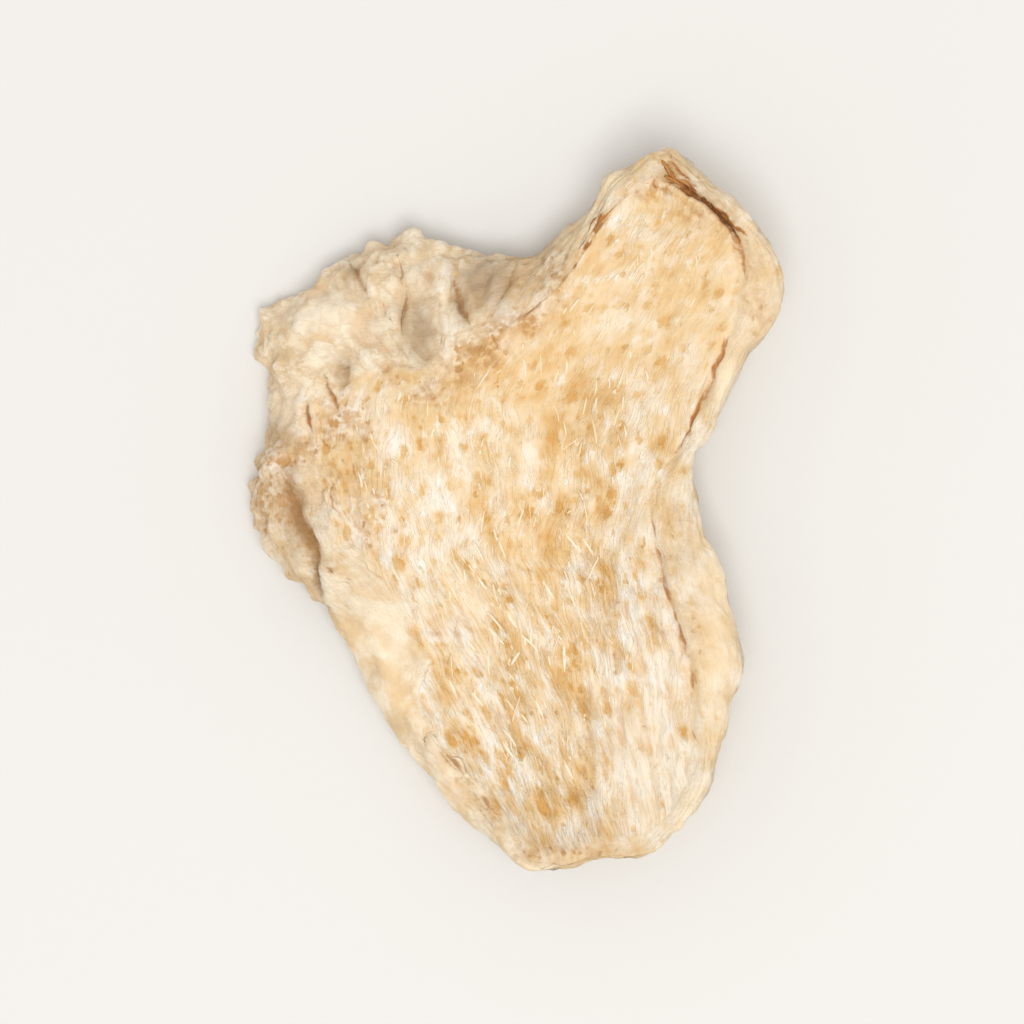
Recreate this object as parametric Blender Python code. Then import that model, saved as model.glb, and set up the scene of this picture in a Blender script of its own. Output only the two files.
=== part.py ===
"""A slice of dried ginger root, lying on its underside with its upper cut face showing.

The slice grew as one piece, so it is one solid. Its outline has two lobes with a notch between them, a waist
on its right side and a blunt foot. Drying has warped it: the left side arches, a shallow trough runs from
the notch to the foot, and the right side and the right lobe curl up. A band of wrinkled skin joins the two
cut faces all the way round, and is widest over the left shoulder.

Each cut face is a square grid, spread so that the square's outer ring is the face's edge. The rim is a grid
whose rows run round the slice, over the groove and the lip, down the skin and in to the underside. The three
grids are welded into one closed solid.

Frame: metres, +Z up. The origin is the middle of the slice's box, on the surface that it rests on.
"""

import bmesh
import bpy
import numpy as np

# Driving dimensions, in millimetres.
MM = 0.001
HALF_THICKNESS = 1.45
THINNER_AT_LOBES = 0.25
LOBE_START_Y = 5.0
LOBE_END_Y = 14.0
FACE_CENTRE = np.array([-1.2, 0.4])

# Cells along each side of a cut face's square grid. The rim has as many columns as the square's four sides.
FACE_CELLS = 36
WELD_DISTANCE = 0.001

# The rim from the cut face to the lip's crest: how far outside the face's edge, the share of the groove's
# depth, the share of the lip's rise, and the share of skin in its surface.
LIP_PROFILE = (
    (-1.1, 0.0, 0.0, 0.0),
    (-0.65, 0.5, 0.0, 0.0),
    (-0.25, 1.0, 0.0, 0.3),
    (0.15, 0.4, 0.5, 0.6),
    (0.5, 0.0, 1.0, 1.0),
)

# The skin's rounding from the lip's crest to the widest line, and from there to the underside.
SKIN_ROUNDNESS = 1.8
UNDER_ROUNDNESS = 2.0
SKIN_STEPS = (0.2, 0.38, 0.55, 0.7, 0.83, 0.93, 1.0)
UNDER_STEPS = (0.3, 0.6, 0.85, 1.0)

# Knobs and wrinkles of the dried skin, and waves of the cut faces: their size, height and seed. They fade
# out where the underside comes close to the surface that it rests on.
KNOBS = (2.3, 0.30, 11)
WRINKLES = (1.2, 0.14, 12)
FACE_WAVES = (3.4, 0.20, 13)
CLEAR_HEIGHT = 0.5

# One row for each place round the slice, clockwise from the top of the right lobe. The columns are the
# outline's x and y, the upper cut face's edge x and y, the lip's rise, the groove's depth, how far up
# the side the outline's widest line lies (0 at the underside, 1 at the lip), and the skin's width below.
RIM = (
    (5.9, 16.1, 6.1, 14.7, 0.20, 0.20, 0.50, 1.0),
    (7.3, 16.3, 7.2, 14.9, 0.35, 0.45, 0.55, 1.0),
    (9.4, 14.9, 8.5, 13.9, 0.45, 0.60, 0.60, 1.1),
    (10.8, 13.6, 9.8, 12.6, 0.45, 0.60, 0.60, 1.2),
    (11.9, 12.1, 10.6, 11.4, 0.30, 0.40, 0.55, 1.2),
    (12.4, 10.4, 10.8, 10.1, 0.15, 0.15, 0.50, 1.2),
    (11.9, 8.8, 10.4, 8.6, 0.15, 0.20, 0.50, 1.2),
    (10.7, 7.0, 9.3, 7.1, 0.25, 0.35, 0.50, 1.1),
    (9.8, 5.2, 8.5, 5.4, 0.25, 0.35, 0.45, 1.1),
    (8.8, 3.4, 7.6, 3.6, 0.15, 0.20, 0.45, 1.0),
    (8.3, 1.7, 7.0, 1.7, 0.15, 0.10, 0.45, 1.0),
    (8.7, -0.6, 7.0, -0.9, 0.15, 0.15, 0.50, 1.1),
    (9.5, -2.5, 7.4, -3.1, 0.15, 0.25, 0.55, 1.2),
    (10.2, -4.9, 8.0, -5.3, 0.15, 0.30, 0.55, 1.2),
    (10.5, -6.8, 8.4, -7.0, 0.15, 0.30, 0.55, 1.2),
    (10.1, -8.7, 8.5, -8.7, 0.15, 0.20, 0.55, 1.1),
    (9.5, -10.7, 8.3, -10.5, 0.10, 0.10, 0.50, 1.0),
    (8.8, -12.6, 7.8, -12.0, 0.10, 0.05, 0.50, 0.9),
    (7.5, -14.5, 6.8, -13.5, 0.10, 0.05, 0.50, 0.9),
    (6.0, -15.6, 5.5, -14.6, 0.10, 0.05, 0.50, 0.9),
    (4.0, -15.7, 3.7, -14.8, 0.10, 0.05, 0.50, 0.9),
    (1.7, -16.3, 1.6, -15.3, 0.10, 0.10, 0.50, 0.9),
    (0.2, -15.9, 0.5, -14.9, 0.10, 0.15, 0.50, 0.9),
    (-1.3, -14.8, -0.5, -13.8, 0.10, 0.20, 0.45, 0.9),
    (-2.8, -13.5, -1.7, -12.5, 0.10, 0.25, 0.45, 0.9),
    (-4.1, -12.0, -2.8, -10.9, 0.15, 0.25, 0.40, 0.9),
    (-5.3, -10.4, -3.7, -9.4, 0.15, 0.25, 0.35, 0.9),
    (-6.5, -8.5, -4.3, -7.5, 0.10, 0.15, 0.30, 0.8),
    (-7.5, -6.6, -4.9, -5.7, 0.10, 0.10, 0.25, 0.8),
    (-8.6, -4.9, -5.9, -3.8, 0.10, 0.10, 0.25, 0.8),
    (-10.0, -3.3, -7.4, -2.3, 0.10, 0.10, 0.25, 0.8),
    (-11.4, -1.7, -8.8, -0.7, 0.10, 0.15, 0.25, 0.8),
    (-12.3, 0.2, -9.6, 1.0, 0.10, 0.15, 0.25, 0.8),
    (-12.2, 2.3, -9.7, 2.6, 0.10, 0.15, 0.25, 0.8),
    (-11.5, 4.3, -9.4, 4.0, 0.10, 0.15, 0.25, 0.8),
    (-11.8, 6.4, -8.8, 5.2, 0.05, 0.15, 0.20, 0.8),
    (-12.0, 7.8, -8.2, 6.1, 0.05, 0.15, 0.20, 0.8),
    (-11.3, 9.4, -7.2, 6.6, 0.05, 0.15, 0.20, 0.8),
    (-9.5, 10.5, -6.1, 6.8, 0.05, 0.10, 0.20, 0.8),
    (-7.9, 11.8, -5.2, 6.8, 0.05, 0.10, 0.20, 0.8),
    (-6.2, 12.6, -4.2, 6.7, 0.05, 0.10, 0.20, 0.8),
    (-4.6, 13.0, -3.2, 6.7, 0.05, 0.10, 0.20, 0.8),
    (-3.0, 12.2, -2.1, 7.0, 0.05, 0.15, 0.25, 0.8),
    (-1.0, 11.9, -0.9, 7.7, 0.10, 0.15, 0.30, 0.8),
    (0.9, 12.1, 0.4, 8.6, 0.10, 0.15, 0.35, 0.8),
    (2.3, 13.0, 1.6, 9.9, 0.10, 0.20, 0.35, 0.8),
    (3.4, 14.2, 2.8, 11.2, 0.15, 0.20, 0.40, 0.9),
    (4.4, 15.4, 4.0, 13.0, 0.15, 0.20, 0.45, 0.9),
)

# The height of the slice's middle layer above the surface that it rests on: x, y and height.
WARP = (
    (-11.5, 2.0, 1.2),
    (-10.0, 9.0, 1.5),
    (-5.0, 12.0, 2.2),
    (-4.0, 6.0, 3.1),
    (-5.0, -1.0, 3.0),
    (-6.5, -8.0, 2.2),
    (-1.0, -12.0, 2.2),
    (0.0, 11.0, 2.6),
    (2.8, 5.0, 1.35),
    (3.0, -2.0, 1.3),
    (3.0, -9.0, 1.4),
    (1.0, -15.5, 3.0),
    (6.0, -15.0, 4.0),
    (6.3, -5.0, 3.0),
    (9.8, -7.0, 4.7),
    (8.3, 1.5, 3.6),
    (7.0, 9.0, 3.3),
    (12.0, 10.5, 5.3),
    (6.5, 15.8, 4.8),
    (3.5, 13.0, 3.3),
)

# Swellings (and hollows, with a negative rise) of the skin and the upper face: x, y, radius and rise.
LUMPS = (
    (-7.8, 8.6, 1.5, 0.45),
    (-4.3, 11.4, 1.0, 0.40),
    (-4.1, 9.1, 0.9, -0.45),
    (-10.2, 5.9, 1.2, 0.35),
    (-11.0, 1.4, 1.1, 0.35),
    (-10.6, 3.4, 0.8, -0.40),
    (-1.9, 9.6, 0.9, -0.30),
    (0.3, 10.6, 0.9, 0.20),
    (-8.6, -2.2, 0.9, -0.20),
    (-7.0, -5.4, 1.0, 0.20),
    (5.6, -10.5, 1.6, 0.25),
    (6.0, 5.0, 1.5, 0.20),
)

GINGER_COLOUR = (0.76, 0.57, 0.34, 1.0)
GINGER_ROUGHNESS = 0.85


def closed_curve(rows, count):
    """Closed Catmull-Rom curve through the rows, sampled evenly by its length in the first two columns."""
    rows = np.asarray(rows, float)
    steps = np.arange(0, len(rows), 0.05)
    start = np.floor(steps).astype(int)
    part = (steps - start)[:, None]
    before, this, after, beyond = (rows[(start + k) % len(rows)] for k in (-1, 0, 1, 2))
    fine = 0.5 * (
        2 * this
        + (after - before) * part
        + (2 * before - 5 * this + 4 * after - beyond) * part**2
        + (3 * this - before - 3 * after + beyond) * part**3
    )
    fine = np.vstack([fine, fine[:1]])
    gone = np.r_[0.0, np.cumsum(np.hypot(*np.diff(fine[:, :2], axis=0).T))]
    even = np.arange(count) * gone[-1] / count
    return np.stack([np.interp(even, gone, column) for column in fine.T], axis=1)


def bent_sheet(points):
    """Thin-plate sheet through the given heights: a function of x and y that bends as little as it can."""
    places, heights = np.array(points)[:, :2], np.array(points)[:, 2]

    def pull(x, y):
        square = (x[..., None] - places[:, 0]) ** 2 + (y[..., None] - places[:, 1]) ** 2
        return square * np.log(square + 1e-9)

    flat = np.c_[np.ones(len(places)), places]
    system = np.block([[pull(*places.T), flat], [flat.T, np.zeros((3, 3))]])
    weights = np.linalg.solve(system, np.r_[heights, np.zeros(3)])

    def height(x, y):
        return pull(x, y) @ weights[:-3] + weights[-3] + weights[-2] * x + weights[-1] * y

    return height


def noise(points, size, seed):
    """Gradient noise between about -1 and 1 at the points, whose swellings are about the size across."""
    random = np.random.default_rng(seed)
    order = random.permutation(256)
    slopes = random.normal(size=(256, 3))
    slopes /= np.linalg.norm(slopes, axis=1)[:, None] / 1.6
    cell = np.floor(points / size).astype(int)
    inside = points / size - cell
    fade = inside**3 * (inside * (inside * 6 - 15) + 10)
    total = np.zeros(len(points))
    for corner in np.ndindex(2, 2, 2):
        x, y, z = (cell + corner).T
        slope = slopes[order[(order[(order[x & 255] + y) & 255] + z) & 255]]
        weight = np.where(corner, fade, 1 - fade).prod(axis=1)
        total += weight * (slope * (inside - corner)).sum(axis=1)
    return total


middle_layer = bent_sheet(WARP)


def half_thickness(y):
    """The slice thins towards the tips of its lobes."""
    share = np.clip((y - LOBE_START_Y) / (LOBE_END_Y - LOBE_START_Y), 0, 1)
    return HALF_THICKNESS - THINNER_AT_LOBES * share


def lumps(x, y):
    """Sum of the round swellings and hollows, each a bell shape."""
    return sum(rise * np.exp(-((x - a) ** 2 + (y - b) ** 2) / radius**2) for a, b, radius, rise in LUMPS)


def upper_height(x, y):
    return middle_layer(x, y) + half_thickness(y)


def under_height(x, y):
    """The underside, flat where it touches the surface that it rests on."""
    return np.maximum(middle_layer(x, y) - half_thickness(y), 0.0)


def square_of_loops():
    """For each corner of a square grid: its share of the way from the middle to the edge, and round it."""
    steps = np.linspace(-1, 1, FACE_CELLS + 1)
    x, y = (part.ravel() for part in np.meshgrid(steps, steps))
    share = np.maximum(np.abs(x), np.abs(y))
    x, y = x / np.maximum(share, 1e-9), y / np.maximum(share, 1e-9)
    sides = [(x >= 1) & (y < 1), y >= 1, x <= -1]
    quarters = np.select(sides, [(1 + y) / 2, 1 + (1 - x) / 2, 2 + (1 - y) / 2], 3 + (1 + x) / 2)
    return share, quarters / 4


def at_share(loop, turn):
    """The loop's points at the given shares of one turn."""
    along = np.arange(len(loop)) / len(loop)
    return np.stack([np.interp(turn, along, column, period=1) for column in loop.T], axis=1)


def rim_rows(rim):
    """The rim's loops with their shares of skin: over the lip, down the skin and in to the underside."""
    outline, edge = rim[:, :2], rim[:, 2:4]
    lip, groove, widest, width_below = rim[:, 4:].T
    outward = (outline - edge) / np.hypot(*(outline - edge).T)[:, None]

    rows = []
    for reach, depth_share, rise_share, skin in LIP_PROFILE:
        crest = edge + outward * reach
        crest_heights = upper_height(*crest.T) - groove * depth_share + lip * rise_share
        rows.append((np.c_[crest, crest_heights + lumps(*crest.T)], skin))

    way = FACE_CENTRE - outline
    under_edge = outline + way * (width_below / np.hypot(*way.T))[:, None]
    under_heights = under_height(*under_edge.T)
    widest_heights = under_heights + (crest_heights - under_heights) * widest
    for step in SKIN_STEPS:
        left = (1 - step**SKIN_ROUNDNESS) ** (1 / SKIN_ROUNDNESS)
        places = crest + (outline - crest) * step
        heights = widest_heights + (crest_heights - widest_heights) * left
        rows.append((np.c_[places, heights + lumps(*places.T) * left], 1.0))
    for step in UNDER_STEPS:
        left = (1 - step**UNDER_ROUNDNESS) ** (1 / UNDER_ROUNDNESS)
        places = outline + (under_edge - outline) * (1 - left)
        heights = widest_heights + (under_heights - widest_heights) * step
        rows.append((np.c_[places, heights], 1.0))
    return rows


def face_points(edge, height):
    """Points of a cut face for the square grid's corners, spread from the middle out to the edge."""
    share, turn = square_of_loops()
    places = FACE_CENTRE + (at_share(edge, turn) - FACE_CENTRE) * share[:, None]
    return np.c_[places, height(*places.T)]


def add_grid(mesh, columns, points, skin):
    """Adds a grid of faces whose corners lie at the points, each with its share of skin."""
    rows = len(points) // columns
    grid = bmesh.ops.create_grid(mesh, x_segments=columns - 1, y_segments=rows - 1, size=1)
    layer = mesh.verts.layers.float["skin"]
    for corner, point, share in zip(grid["verts"], points, skin):
        corner.co = point
        corner[layer] = share


def roughen(mesh):
    """Moves the surface in and out by the skin's knobs and wrinkles and the cut faces' waves."""
    layer = mesh.verts.layers.float["skin"]
    points = np.array([vert.co for vert in mesh.verts])
    skin = np.array([vert[layer] for vert in mesh.verts])
    sources = (KNOBS, WRINKLES, FACE_WAVES)
    knobs, wrinkles, waves = (height * noise(points, size, seed) for size, height, seed in sources)
    clear = np.clip(points[:, 2] / CLEAR_HEIGHT, 0, 1)
    shift = (skin * (knobs + wrinkles) + (1 - skin) * waves) * clear
    mesh.normal_update()
    for vert, distance in zip(mesh.verts, shift):
        vert.co += vert.normal * distance


def build_slice():
    """Makes the two cut faces and the rim as grids, welds them into one solid and roughens it."""
    rows = rim_rows(closed_curve(RIM, 4 * FACE_CELLS))
    turned = [(np.vstack([points, points[:1]]), np.full(len(points) + 1, skin)) for points, skin in rows]
    upper = face_points(rows[0][0][:, :2], lambda x, y: upper_height(x, y) + lumps(x, y))
    under = face_points(rows[-1][0][:, :2], under_height)

    mesh = bmesh.new()
    mesh.verts.layers.float.new("skin")
    add_grid(mesh, FACE_CELLS + 1, upper, np.zeros(len(upper)))
    add_grid(mesh, 4 * FACE_CELLS + 1, *(np.concatenate(part) for part in zip(*turned)))
    add_grid(mesh, FACE_CELLS + 1, under, np.zeros(len(under)))
    bmesh.ops.remove_doubles(mesh, verts=mesh.verts[:], dist=WELD_DISTANCE)
    bmesh.ops.recalc_face_normals(mesh, faces=mesh.faces[:])
    roughen(mesh)
    bmesh.ops.triangulate(mesh, faces=mesh.faces[:])
    bmesh.ops.scale(mesh, vec=(MM, MM, MM), verts=mesh.verts[:])
    data = bpy.data.meshes.new("ginger_slice")
    mesh.to_mesh(data)
    mesh.free()
    data.shade_smooth()
    return data


def ginger_material():
    material = bpy.data.materials.new("dried_ginger")
    material.use_nodes = True
    shader = material.node_tree.nodes["Principled BSDF"]
    shader.inputs["Base Color"].default_value = GINGER_COLOUR
    shader.inputs["Roughness"].default_value = GINGER_ROUGHNESS
    return material


def main():
    for old in list(bpy.data.objects):
        bpy.data.objects.remove(old)
    data = build_slice()
    data.materials.append(ginger_material())
    bpy.context.scene.collection.objects.link(bpy.data.objects.new("ginger_slice", data))


main()
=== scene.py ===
"""The look of a slice of dried ginger root: cut faces, wrinkled skin, loose fibres, floor, light and camera.

Everything is worked out in millimetres and turned into metres when it goes into a mesh. The slice is two
square grids, one for each cut face, and a rim of rows that run round between them. All three are one closed
surface, moved in and out along its own normals by noise: knobs and wrinkles where it is skin, waves, fibres
and pits where it is flesh.
"""

from functools import lru_cache

import bpy
import numpy as np
from mathutils import Matrix, Vector


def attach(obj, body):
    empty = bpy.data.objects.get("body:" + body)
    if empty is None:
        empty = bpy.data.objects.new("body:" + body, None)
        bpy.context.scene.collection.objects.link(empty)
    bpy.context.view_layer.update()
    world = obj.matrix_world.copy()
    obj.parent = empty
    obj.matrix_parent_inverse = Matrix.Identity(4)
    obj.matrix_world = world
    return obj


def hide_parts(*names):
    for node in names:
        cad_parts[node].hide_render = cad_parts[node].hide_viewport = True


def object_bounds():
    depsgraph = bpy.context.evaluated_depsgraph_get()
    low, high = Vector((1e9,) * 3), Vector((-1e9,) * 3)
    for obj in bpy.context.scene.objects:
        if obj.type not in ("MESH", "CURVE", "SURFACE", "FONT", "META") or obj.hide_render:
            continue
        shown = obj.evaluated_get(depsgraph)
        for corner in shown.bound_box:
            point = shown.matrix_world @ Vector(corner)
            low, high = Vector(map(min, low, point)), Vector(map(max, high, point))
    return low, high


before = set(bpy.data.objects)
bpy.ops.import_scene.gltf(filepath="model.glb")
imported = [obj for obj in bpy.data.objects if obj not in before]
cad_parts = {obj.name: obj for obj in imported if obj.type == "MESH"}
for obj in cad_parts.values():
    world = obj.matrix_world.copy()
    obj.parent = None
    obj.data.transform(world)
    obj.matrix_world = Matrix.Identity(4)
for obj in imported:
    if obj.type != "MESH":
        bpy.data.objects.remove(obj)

bl_info = {
    "name": "Dried ginger slice",
    "version": (1, 0, 0),
    "blender": (4, 5, 0),
    "location": "3D View > Sidebar > Ginger",
    "description": "Builds a slice of dried ginger root with its skin, flesh and loose fibres, on a stage",
    "category": "Add Mesh",
}

CAD_BOX = [list(corner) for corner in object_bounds()]
MM = 0.001

# Size of the slice, in millimetres, as the solid has it.
HALF_THICKNESS = 1.45
THINNER_AT_LOBES = 0.25
LOBE_START_Y = 5.0
LOBE_END_Y = 14.0
FACE_CENTRE = np.array([-1.2, 0.4])

# The surface's grid: cells along a cut face's side, and rows of the rim over its lip, skin and underside.
FACE_CELLS = 176
LIP_REACHES = (-1.1, -0.9, -0.72, -0.56, -0.42, -0.3, -0.2, -0.12, -0.05, 0.02, 0.09, 0.17, 0.27, 0.38, 0.5)
SKIN_ROWS = 26
UNDER_ROWS = 10

# How square the rim's rows are in section, on the left, on the right and below the widest line: 2 is a
# round quarter, and more is squarer.
SKIN_ROUNDNESS = 1.8
RIGHT_ROUNDNESS = 3.6
UNDER_ROUNDNESS = 2.0

# The rim's groove: its place and half width, its share of the depth that RIM gives, the half width and
# depth of the crack where it is deep, and how far the crack's painted dark shade and the brown line reach.
GROOVE_PLACE = -0.02
GROOVE_WIDTH = 0.15
GROOVE_SHARE = 0.42
CRACK_WIDTH = 0.07
CRACK_DEPTH = 0.45
CRACK_REACH = 0.10
LINE_REACH = 0.13

# Noise: how many numbers its shuffled table holds, how steep its slopes are, and the mean of a puff.
TABLE_SIZE = 256
SLOPE = 1.6
PUFF_MEAN = 0.45

# The closed curve's step from one row to the next, a length too small to matter, and one greater than any
# that it is compared with.
CURVE_STEP = 0.02
TINY = 1e-9
FAR = 9.0

# Relief heights that count as one step up when painted shade goes in the hollows and wear on the ridges:
# on the skin and on the flesh.
SKIN_STEP = 0.16
FLESH_STEP = 0.1

# The underside's relief fades out below the first height, and below the second it has no loose fibres.
CLEAR_HEIGHT = 0.5
REST_GAP = 0.12

# Loose fibres: points along each, the share of a face at its edge that stays free, the seed of their
# places, the share that is missing towards the lobes on the upper and the under face, the share that
# strays from the grain and how far it turns, the share that lifts off and how far, and how thick and bent
# the pale hairs are.
FIBRE_STEPS = 6
FACE_MARGIN = 0.03
FIBRE_SEED = 71
THINNED = (0.5, 0.2)
STRAY_SHARE = 0.10
STRAY_TURN = 0.8
LIFTED_SHARE = 0.15
LIFTS = (0.03, 0.12)
HAIR_THICKNESS = 1.25
HAIR_BEND = 0.12

# Torn shreds: points along each, how thick they are for their width, and the seed of their ragged sides.
RIBBON_STEPS = 8
RIBBON_FLATNESS = 0.14
RIBBON_SEED = 82

# The brown blotches of fibres and shreds.
BLOTCH_COLOUR = (0.50, 0.27, 0.10, 1.0)

# The stage: the way from the slice to the camera, the width of its sensor in millimetres, the colour and
# strength of the room's light, and the soft light's place, width, power and colour.
CAMERA_WAY = (0.0583, 0.0108, 1.0)
SENSOR_WIDTH = 36.0
ROOM_COLOUR = (1.0, 0.965, 0.91, 1.0)
ROOM_STRENGTH = 0.70
KEY_LIGHT = ((0.06, -0.12, 0.52), 0.26, 1.40, (1.0, 0.98, 0.94))

# One row for each place round the slice, clockwise from the top of the right lobe. The columns are the
# outline's x and y, the upper cut face's edge x and y, the lip's rise, the groove's depth, how far up
# the side the outline's widest line lies (0 at the underside, 1 at the lip), and the skin's width below.
RIM = (
    (5.9, 16.1, 6.1, 15.0, 0.2, 0.15, 0.5, 1.0), (7.3, 16.3, 7.1, 15.1, 0.3, 0.36, 0.55, 1.0),
    (9.4, 14.9, 8.7, 14.15, 0.4, 0.5, 0.6, 1.1), (10.8, 13.6, 10.0, 12.95, 0.4, 0.5, 0.6, 1.2),
    (11.9, 12.1, 10.35, 11.7, 0.2, 0.28, 0.58, 1.2), (12.4, 10.4, 10.6, 10.4, 0.04, 0.12, 0.58, 1.2),
    (11.9, 8.8, 10.2, 8.9, 0.06, 0.12, 0.58, 1.2), (10.7, 7.0, 9.45, 7.1, 0.2, 0.3, 0.55, 1.1),
    (9.8, 5.2, 8.75, 5.4, 0.28, 0.34, 0.45, 1.1), (8.8, 3.4, 7.95, 3.5, 0.15, 0.28, 0.45, 1.0),
    (8.3, 1.7, 6.7, 1.6, 0.1, 0.05, 0.45, 1.0), (8.7, -0.6, 6.45, -0.7, 0.1, 0.14, 0.5, 1.1),
    (9.5, -2.5, 6.9, -2.8, 0.15, 0.25, 0.55, 1.2), (10.2, -4.9, 7.6, -5.0, 0.15, 0.28, 0.55, 1.2),
    (10.5, -6.8, 8.15, -6.9, 0.12, 0.28, 0.55, 1.2), (10.1, -8.7, 8.3, -8.6, 0.08, 0.12, 0.55, 1.1),
    (9.5, -10.7, 8.4, -10.5, 0.08, 0.08, 0.5, 1.0), (8.8, -12.6, 8.1, -12.2, 0.04, 0.04, 0.5, 0.9),
    (7.5, -14.5, 7.0, -13.9, 0.0, 0.0, 0.5, 0.9), (6.0, -15.6, 5.7, -15.0, 0.0, 0.0, 0.5, 0.9),
    (4.0, -15.7, 3.8, -15.1, 0.0, 0.0, 0.5, 0.9), (1.7, -16.3, 1.7, -15.7, 0.0, 0.0, 0.5, 0.9),
    (0.2, -15.9, 0.5, -15.2, 0.04, 0.06, 0.5, 0.9), (-1.3, -14.8, -0.5, -13.9, 0.1, 0.18, 0.45, 0.9),
    (-2.8, -13.5, -1.6, -12.6, 0.12, 0.26, 0.45, 0.9), (-4.1, -12.0, -2.6, -11.3, 0.15, 0.28, 0.4, 0.9),
    (-5.3, -10.4, -3.7, -9.9, 0.26, 0.22, 0.35, 0.9), (-6.5, -8.5, -4.15, -8.0, 0.3, 0.1, 0.3, 0.8),
    (-7.5, -6.6, -4.3, -6.1, 0.22, 0.08, 0.25, 0.8), (-8.6, -4.9, -5.1, -4.2, 0.08, 0.05, 0.25, 0.8),
    (-10.0, -3.3, -6.5, -2.6, 0.04, 0.05, 0.25, 0.8), (-11.4, -1.7, -7.9, -0.9, 0.03, 0.02, 0.25, 0.8),
    (-12.3, 0.2, -8.5, 0.9, 0.03, 0.03, 0.25, 0.8), (-12.2, 2.3, -9.1, 2.6, 0.08, 0.12, 0.25, 0.8),
    (-11.5, 4.3, -9.3, 4.2, 0.1, 0.15, 0.25, 0.8), (-11.8, 6.4, -8.4, 5.2, 0.03, 0.02, 0.2, 0.8),
    (-12.0, 7.8, -7.7, 5.8, 0.03, 0.02, 0.2, 0.8), (-11.3, 9.4, -6.9, 6.2, 0.03, 0.02, 0.2, 0.8),
    (-9.5, 10.5, -6.1, 6.6, 0.03, 0.02, 0.2, 0.8), (-7.9, 11.8, -5.3, 6.8, 0.03, 0.02, 0.2, 0.8),
    (-6.2, 12.6, -4.4, 6.8, 0.03, 0.02, 0.2, 0.8), (-4.6, 13.0, -3.4, 7.0, 0.03, 0.02, 0.2, 0.8),
    (-3.0, 12.2, -2.4, 7.6, 0.03, 0.02, 0.25, 0.8), (-1.0, 11.9, -1.0, 8.2, 0.06, 0.05, 0.3, 0.8),
    (0.9, 12.1, 0.3, 9.0, 0.1, 0.08, 0.35, 0.8), (2.3, 13.0, 1.7, 10.1, 0.2, 0.2, 0.35, 0.8),
    (3.4, 14.2, 2.95, 11.5, 0.26, 0.28, 0.4, 0.9), (4.4, 15.4, 4.1, 13.3, 0.26, 0.28, 0.45, 0.9),
)

# The height of the slice's middle layer above the surface that it rests on: x, y and height.
WARP = (
    (-11.5, 2.0, 1.2), (-10.0, 9.0, 1.5), (-5.0, 12.0, 2.2), (-4.0, 6.0, 3.1), (-5.0, -1.0, 3.0),
    (-6.5, -8.0, 2.2), (-1.0, -12.0, 2.2), (0.0, 11.0, 2.6), (2.8, 5.0, 1.35), (3.0, -2.0, 1.3),
    (3.0, -9.0, 1.4), (1.0, -15.5, 3.0), (6.0, -15.0, 4.0), (6.3, -5.0, 3.0), (9.8, -7.0, 4.7),
    (8.3, 1.5, 3.6), (7.0, 9.0, 3.3), (12.0, 10.5, 5.3), (6.5, 15.8, 4.8), (3.5, 13.0, 3.3),
)

# Swellings (and hollows, with a negative rise) of the slice: x, y, radius along x, along y, and rise.
LUMPS = (
    (-8.7, 9.2, 1.9, 1.3, 0.45), (-4.2, 11.5, 0.9, 1.3, 0.42), (-6.2, 11.3, 0.6, 1.2, 0.32),
    (-4.2, 8.5, 0.7, 1.2, -0.5), (-7.3, 11.0, 0.4, 0.7, -0.25), (-7.7, 6.7, 0.4, 0.7, -0.28),
    (-10.9, 3.9, 0.8, 0.8, -0.45), (-10.1, 6.6, 0.8, 1.6, 0.3), (-11.4, 1.0, 0.7, 1.6, 0.4),
    (-10.4, -2.0, 0.5, 0.9, 0.3), (-8.5, -0.8, 0.6, 1.2, 0.15), (-3.3, 9.8, 0.4, 1.3, 0.22),
    (0.3, 10.6, 0.9, 0.9, 0.2), (-6.9, -5.6, 1.1, 1.6, 0.22), (5.6, -10.5, 1.6, 1.6, 0.25),
    (3.3, -10.5, 0.6, 3.0, -0.22), (6.1, 0.0, 0.5, 2.6, 0.16), (6.0, 5.0, 1.5, 1.5, 0.2),
)

# Small knobs and notches that push the skin in and out: x, y, radius and push.
KNOBS = (
    (-4.7, 13.0, 0.5, 0.2), (-5.9, 12.5, 0.3, -0.22), (-6.6, 12.7, 0.4, 0.22), (-7.4, 12.2, 0.3, 0.1),
    (-8.2, 11.4, 0.3, -0.22), (-9.0, 11.0, 0.5, 0.16), (-10.2, 9.9, 0.4, -0.16), (-11.6, 9.1, 0.4, 0.26),
    (-12.1, 7.4, 0.4, 0.2), (-11.7, 6.4, 0.4, -0.26), (-11.9, 4.2, 0.3, 0.14), (-12.0, 3.1, 0.3, -0.18),
    (-12.4, 2.4, 0.3, 0.22), (-12.2, 1.8, 0.2, -0.2), (-12.4, 1.3, 0.3, 0.16), (-12.3, 0.3, 0.3, 0.12),
    (-12.0, -0.7, 0.3, 0.12), (-10.5, -2.9, 0.4, 0.18), (-10.0, -3.6, 0.3, -0.3), (-9.5, -4.2, 0.3, 0.16),
    (-8.9, -4.6, 0.2, -0.2), (-5.35, 9.3, 0.4, 0.2), (-6.2, 8.5, 0.4, 0.14), (-8.2, 7.3, 0.5, 0.14),
    (-3.85, 10.85, 0.25, -0.28), (-5.75, 6.7, 0.22, -0.3), (-10.2, 2.4, 0.3, -0.25), (-11.0, 2.5, 0.4, 0.2),
    (-9.6, 2.9, 0.4, 0.16), (-3.7, -10.5, 0.3, 0.2), (0.6, -16.2, 0.5, 0.16), (1.9, -16.1, 0.3, -0.16),
    (5.3, -15.8, 0.3, -0.14), (8.1, -13.8, 0.3, -0.14), (7.2, 16.2, 0.3, 0.14),
)

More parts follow.
